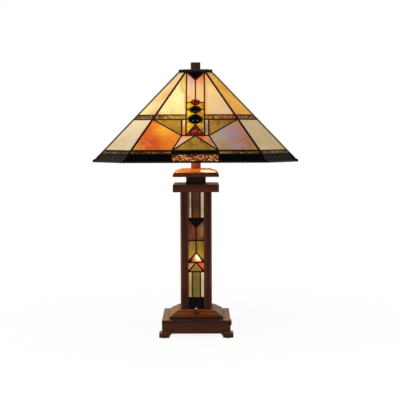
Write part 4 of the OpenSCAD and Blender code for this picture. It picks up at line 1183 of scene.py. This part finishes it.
def board_ring():
    """The four mitred sides of the box as one ring, with grain along each side."""
    bm = cad_copy(*BOX_SIDES)
    mitres = [f for f in bm.faces
              if abs(abs(f.normal.x) - abs(f.normal.y)) < 0.02 and abs(f.normal.z) < 0.02]
    bmesh.ops.delete(bm, geom=mitres, context="FACES")
    bmesh.ops.remove_doubles(bm, verts=bm.verts, dist=2e-5)
    soften(bm, 0.0010, 40)
    for f in bm.faces:
        middle = f.calc_center_median()
        f.material_index = 0 if abs(middle.y) > abs(middle.x) else 1
    return bm


add_piece("box_sides", board_ring(), "lamp", "wood_red", BOX_SIDES, ["wood_x", "wood_y"],
          weighted=True)
for row in (
        ("box_top", "box_lid", 0.0003, "wood_red", "wood_x"),
        ("feet", "box_feet", 0.0008, "wood_red", "wood_x"),
        ("plinth_block", "plinth", 0.0009, "wood_red", "wood_plinth"),
        ("column_posts", "posts", 0.0005, "wood_red", "wood_z"),
        ("abacus_slab", "slab_lower", 0.0005, "wood_red", "wood_slab"),
        ("neck_block", "neck", 0.0005, "wood_dark", "wood_neck"),
        ("capital_slab", "slab_upper", 0.0011, "wood_orange", "wood_capital"),
        ("stem_post", "stem", 0.0008, "wood_orange", "wood_stem"),
        ("finial_block", "finial", 0.0006, "wood_dark", "wood_finial", "finial"),
        ("lock_nuts", "nuts", 0.0005, "brass", "brass"),
        ("shade_seat", "seat_washer", 0.0004, "brass", "brass"),
        ("socket_cluster", "hub", 0.0006, "brass", "brass"),
        ("night_socket", "night_holder", 0.0006, "socket_white", "socket_white"),
        ("cord_inlet", "inlet_bush", 0.0005, "bushing", "bushing"),
        ("felt_pads", "felt_discs", 0.0004, "felt", "felt"),
        ("bottom_board", "base_board", 0.0004, "hardboard", "hardboard")):
    softened_piece(*row)
for node_name, metal_name in (("night_riser", "brass"), ("wire_conduit", "copper"),
                              ("finial_insert", "brass"), ("bottom_screws", "steel")):
    dress(node_name, metal_name)

# -------- lights

HUB_MID = Vector((0, 0, 0.4345))
SOCKET_OUT, SOCKET_L, SOCKET_R = 26.0, 30.0, 15.5
BULB_BASE_R, BULB_R, BULB_GLASS_L, BULB_FOOT = 13.2, 23.0, 58.0, 30.3
NIGHT_TOP = 128.2
LEFT_RIGHT = ((-1, "left"), (1, "right"))


def on_arm(side, z):
    """Turns millimetres along an upper socket's axis, from z on, into the row frame."""
    lean = Matrix.Rotation(radians(45) * side, 4, "Y")
    return Matrix.Translation(HUB_MID) @ lean @ TO_M @ Matrix.Translation((0, 0, z))


def socket_shells():
    """The two upper sockets: turned brass shells with a bead at each end."""
    bm = bmesh.new()
    r, floor = SOCKET_R, 4.0
    bore = BULB_BASE_R + 0.3
    outer = [(0, 0), (r - 2.2, 0), (r - 0.6, 0.6), (r - 0.1, 2.0), (r - 0.6, 3.2),
             (r - 1.2, 4.4), (r - 1.1, 9.0), (r - 0.3, 10.0), (r, 11.0), (r - 0.3, 12.0),
             (r - 1.1, 13.0), (r - 1.0, 24.5), (r - 0.5, 26.4), (r, 27.8), (r - 0.1, 29.2),
             (r - 0.7, SOCKET_L), (bore + 0.2, SOCKET_L), (bore, SOCKET_L - 0.5),
             (bore, floor), (0, floor)]
    for side, _ in LEFT_RIGHT:
        lathe(bm, outer, on_arm(side, SOCKET_OUT))
    return bm


add_piece("socket_shells", socket_shells(), "lamp", "brass", ["upper_sockets"], smooth=30,
          weighted=True)


def bulb_profile(base_r, base_l, globe_r, glass_l):
    """Glass of a bulb from its screw base to its round end."""
    tip = base_l + glass_l
    middle = tip - globe_r
    start_r, start_z = base_r - 0.4, base_l + 1.5
    found = [(0, base_l + 0.1), (base_r - 0.5, base_l), (start_r, start_z)]
    join = 0.36 * pi
    join_r, join_z = globe_r * sin(join), middle - globe_r * cos(join)
    neck_steps, globe_steps = 9, 12
    for i in range(1, neck_steps):
        t = i / neck_steps
        ease = t * t * (3 - 2 * t)
        found.append((start_r + (join_r - start_r) * ease, start_z + (join_z - start_z) * t))
    for i in range(globe_steps):
        a = join + (pi - join) * i / globe_steps
        found.append((globe_r * sin(a), middle - globe_r * cos(a)))
    return found + [(0, tip)]


def base_profile(base_r, base_l):
    """Threaded base of a bulb."""
    found = [(0, 0), (base_r * 0.35, 0), (base_r * 0.42, 0.8), (base_r * 0.8, 2.2)]
    rows = 24
    for i in range(rows + 1):
        found.append((base_r * (0.965 + 0.035 * cos(pi * i / 2)),
                      3.0 + (base_l - 5.0) * i / rows))
    return found + [(base_r - 0.3, base_l), (0, base_l)]


def bulb_piece(name, node, matrix, look, *sizes):
    """A lit bulb; sizes are its base's radius and length and its glass's radius and length."""
    glass = lathe(bmesh.new(), bulb_profile(*sizes), matrix, 40)
    add_piece(name + "_glass", glass, node, "bulb", [node], [look], smooth=60)
    base = lathe(bmesh.new(), base_profile(*sizes[:2]), matrix, 40)
    add_piece(name + "_base", base, node, "brass", smooth=40)


lit_bulb("bulb", [on_arm(side, 0) @ Vector((0, 0, BULB_FOOT + 27.0))
                  for side, _ in LEFT_RIGHT], 0.024)
lit_bulb("night_bulb", [Vector((0, 0, NIGHT_TOP + 24.3)) * MM], 0.012)
for side, label in LEFT_RIGHT:
    bulb_piece("lamp_" + label, "bulb_" + label, on_arm(side, BULB_FOOT), "bulb",
               BULB_BASE_R, 26.0, BULB_R, BULB_GLASS_L)
bulb_piece("lamp_night", "night_bulb", TO_M @ Matrix.Translation((0, 0, NIGHT_TOP + 4.3)),
           "night_bulb", 6.0, 20.0, 11.0, 40.0)

THREAD_FOOT, THREAD_PITCH, THREAD_DEPTH = 446.0, 1.4, 0.45


def threaded_riser():
    """The riser with its thread where it shows, between the hub and the finial."""
    low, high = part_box("riser_tube")
    r, foot, head = high.x / MM, low.z / MM, high.z / MM
    per_turn = 4
    rows = int((head - 0.5 - THREAD_FOOT) / THREAD_PITCH * per_turn)
    profile = [(3.0, foot), (r - 0.4, foot), (r, foot + 0.4)]
    profile += [(r, THREAD_FOOT + THREAD_PITCH * i / per_turn) for i in range(rows)]
    profile += [(r - 0.5, head), (3.0, head), (3.0, foot)]

    def thread(a, q, z):
        if not THREAD_FOOT < z < head - 1 or q < r - 0.01:
            return q
        turn = (z / THREAD_PITCH - a / (2 * pi)) % 1
        return q - THREAD_DEPTH * abs(2 * turn - 1)
    return lathe(bmesh.new(), profile, TO_M, 20, thread)


add_piece("riser", threaded_riser(), "lamp", "brass", ["riser_tube"], ["brass_turned"],
          smooth=40)

# -------- switch and knob

SWITCH_AT, SWITCH_LEAN = Vector((0, -0.0502, 0.05025)), atan2(11.9, 19.0)
SWITCH_FRAME = Matrix.Translation(SWITCH_AT) @ Matrix.Rotation(SWITCH_LEAN, 4, "X") @ TO_M
KNURLS, KNURL_DEPTH = 24, 0.3
BALL_R, BALL_Z = 4.7, 12.6


def knurl(a, r, z):
    """Cuts knurls into the nut's outer wall."""
    return r - KNURL_DEPTH * abs((a * KNURLS / (2 * pi)) % 1 * 2 - 1) if r > 5.7 else r


def switch_fitting():
    """Switch body in the plinth, its threaded neck and a knurled nut on the slope."""
    bm = bmesh.new()
    lathe(bm, [(0, -25), (11.2, -25), (11.5, -24.6), (11.5, -9.4), (11.2, -9), (3.75, -9),
               (3.75, 0), (3.75, 0.05)], SWITCH_FRAME)
    lathe(bm, [(3.0, 0), (5.8, 0), (6.0, 0.25), (6.0, 1.3), (5.6, 1.6), (3.9, 1.6), (3.75, 1.5),
               (3.7, 1.9), (3.55, 2.1), (3.7, 2.25), (3.5, 2.4), (1.65, 2.4), (1.65, 0)],
          SWITCH_FRAME, 96, knurl)
    return bm


def turned_knob():
    """Brass knob: shaft, ringed collar, waist and ball."""
    waist_r, steps = 2.2, 16
    profile = [(0, -16.7), (1.6, -16.7), (1.6, 2.7), (3.1, 2.7), (3.7, 3.1), (3.95, 3.8),
               (4.0, 4.6), (3.9, 5.3), (3.6, 5.7), (3.7, 6.0), (3.6, 6.4), (3.1, 7.0),
               (2.4, 7.5), (waist_r, 7.9), (2.35, 8.3), (waist_r, 8.6)]
    start = asin(waist_r / BALL_R)
    for i in range(steps):
        a = start + (pi - start) * i / steps
        profile.append((BALL_R * sin(a), BALL_Z - BALL_R * cos(a)))
    return lathe(bmesh.new(), profile + [(0, BALL_Z + BALL_R)], SWITCH_FRAME)


add_piece("switch_fitting", switch_fitting(), "lamp", "brass", ["switch_body"],
          ["brass_turned"], smooth=30)
knob = add_piece("knob_turned", turned_knob(), "knob", "brass", ["switch_knob"],
                 ["brass_turned"], smooth=40)

# -------- floor, background, lamps

FLOOR_HALF = 9.0


def background_share(g):
    """1 for the rays that should see a plain white background."""
    path = g.node("LightPath").outputs
    seen = g.math("MAXIMUM", path["Is Camera Ray"], path["Is Glossy Ray"])
    return g.math("MAXIMUM", seen, path["Is Transmission Ray"])


def make_floor():
    g = Graph("floor")
    g.set(Base_Color=g.ramp(g.noise(60, detail=4), {0.3: "#F6F5F3", 0.7: "#FAFAF9"}),
          Roughness=0.8, Specular_IOR_Level=0.1)
    white = g.first("Emission", {"Color": "#FFFFFF", "Strength": 1.0})
    share = g.math("MULTIPLY_ADD", g.near((0, 0, 0), 0.45), -0.10, 1.0)
    mixed = g.first("MixShader", {0: g.times(background_share(g), share),
                                  1: g.shader.outputs[0], 2: white})
    g.put(g.out.inputs["Surface"], mixed)
    mesh = bpy.data.meshes.new("floor")
    h = FLOOR_HALF
    mesh.from_pydata([(-h, -h, 0), (h, -h, 0), (h, h, 0), (-h, h, 0)], [], [(0, 1, 2, 3)])
    mesh.materials.append(MATERIALS["floor"])
    floor = linked("floor", mesh)


def make_world():
    world = bpy.context.scene.world = bpy.data.worlds.new("studio")
    world.use_nodes = True
    g = Nodes(world.node_tree)
    lit = g.first("Background", {"Color": "#FFFFFF", "Strength": 0.55})
    seen = g.first("Background", {"Color": "#FFFFFF", "Strength": 1.0})
    mixed = g.first("MixShader", {0: background_share(g), 1: lit, 2: seen})
    g.node("OutputWorld", {0: mixed})


def add_lamp(name, kind, at, aim, power, colour=(1, 1, 1), **settings):
    data = bpy.data.lights.new(name, kind)
    data.energy, data.color = power, colour
    for key, value in settings.items():
        setattr(data, key, value)
    lamp = linked(name, data)
    lamp.location = at
    lamp.rotation_euler = (Vector(aim) - Vector(at)).to_track_quat("-Z", "Y").to_euler()


make_floor()
make_world()
add_lamp("key", "AREA", (-1.2, -1.6, 1.9), (0, 0, 0.3), 34, shape="SQUARE", size=1.2)
add_lamp("fill", "AREA", (1.7, -1.2, 1.2), (0, 0, 0.3), 14, shape="SQUARE", size=1.4)
# The bulbs' light on the stem and the capital
add_lamp("glow_left", "SPOT", (-0.055, -0.024, 0.450), (-0.022, -0.026, 0.374), 1.15,
         (1.0, 0.66, 0.30), spot_size=radians(80), spot_blend=0.6, shadow_soft_size=0.02)
add_lamp("glow_right", "SPOT", (0.020, 0.037, 0.445), (0.020, -0.036, 0.3695), 0.42,
         (1.0, 0.76, 0.42), spot_size=radians(50), spot_blend=0.6, shadow_soft_size=0.030)

# -------- where the features show in the image

PLINTH_EDGE_Z = 0.0391


def shown_vertices(o):
    return [o.matrix_world @ v.co for v in o.data.vertices]


def shown_middle(piece, at, reach):
    """Image x, y of the middle of what shows of a piece within reach of a place."""
    near = [seen_at(p) for p in shown_vertices(piece) if (p - at).length < reach and p.y < 0]
    xs, ys = zip(*near)
    return (min(xs) + max(xs)) / 2, (min(ys) + max(ys)) / 2


def box_corner(node, side, z=None):
    """Image x, y of a box's front corner at its left (-1) or right (1), low down or at z."""
    low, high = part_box(node)
    return seen_at((low.x if side < 0 else high.x, low.y, low.z if z is None else z))


def feature_places():
    """Where in the image the features of POINTS show."""
    band_half = half_at(PANEL_W, PANEL_TOP_W, SLOPE_L, BAND_LO_S)
    ball = SWITCH_FRAME @ Vector((0, 0, BALL_Z))
    found = {
        "cap_seam_left": seen_at(on_panel(-PANEL_TOP_W / 2, SLOPE_L)),
        "jewel_top": shown_middle(red_stones, on_panel(0, JEWELS[2][0]), 0.012),
        "jewel_middle": shown_middle(black_stones, on_panel(0, JEWELS[1][0]), 0.0125),
        "jewel_low": shown_middle(black_stones, on_panel(0, JEWELS[0][0]), 0.0135),
        "knob_ball": shown_middle(knob, ball, 0.0049),
    }
    for drop in DROPS:
        found[drop[0]] = shown_middle(drops, drop_middle(*drop) * MM, 1.5 * drop[2] * MM)
    for side, label in LEFT_RIGHT:
        found["rim_corner_" + label] = seen_at(on_panel(side * PANEL_W / 2, 0))
        found["band_seam_" + label] = seen_at(on_panel(side * band_half, BAND_LO_S))
        found["capital_" + label] = box_corner("capital_slab", side)
        found["column_foot_" + label] = box_corner("column_posts", side)
        found["plinth_" + label] = box_corner("plinth_block", side, PLINTH_EDGE_Z)
    return found


def write_records():
    bpy.context.view_layer.update()
    places = feature_places()


write_records()
bpy.context.scene.view_settings.view_transform = "Standard"
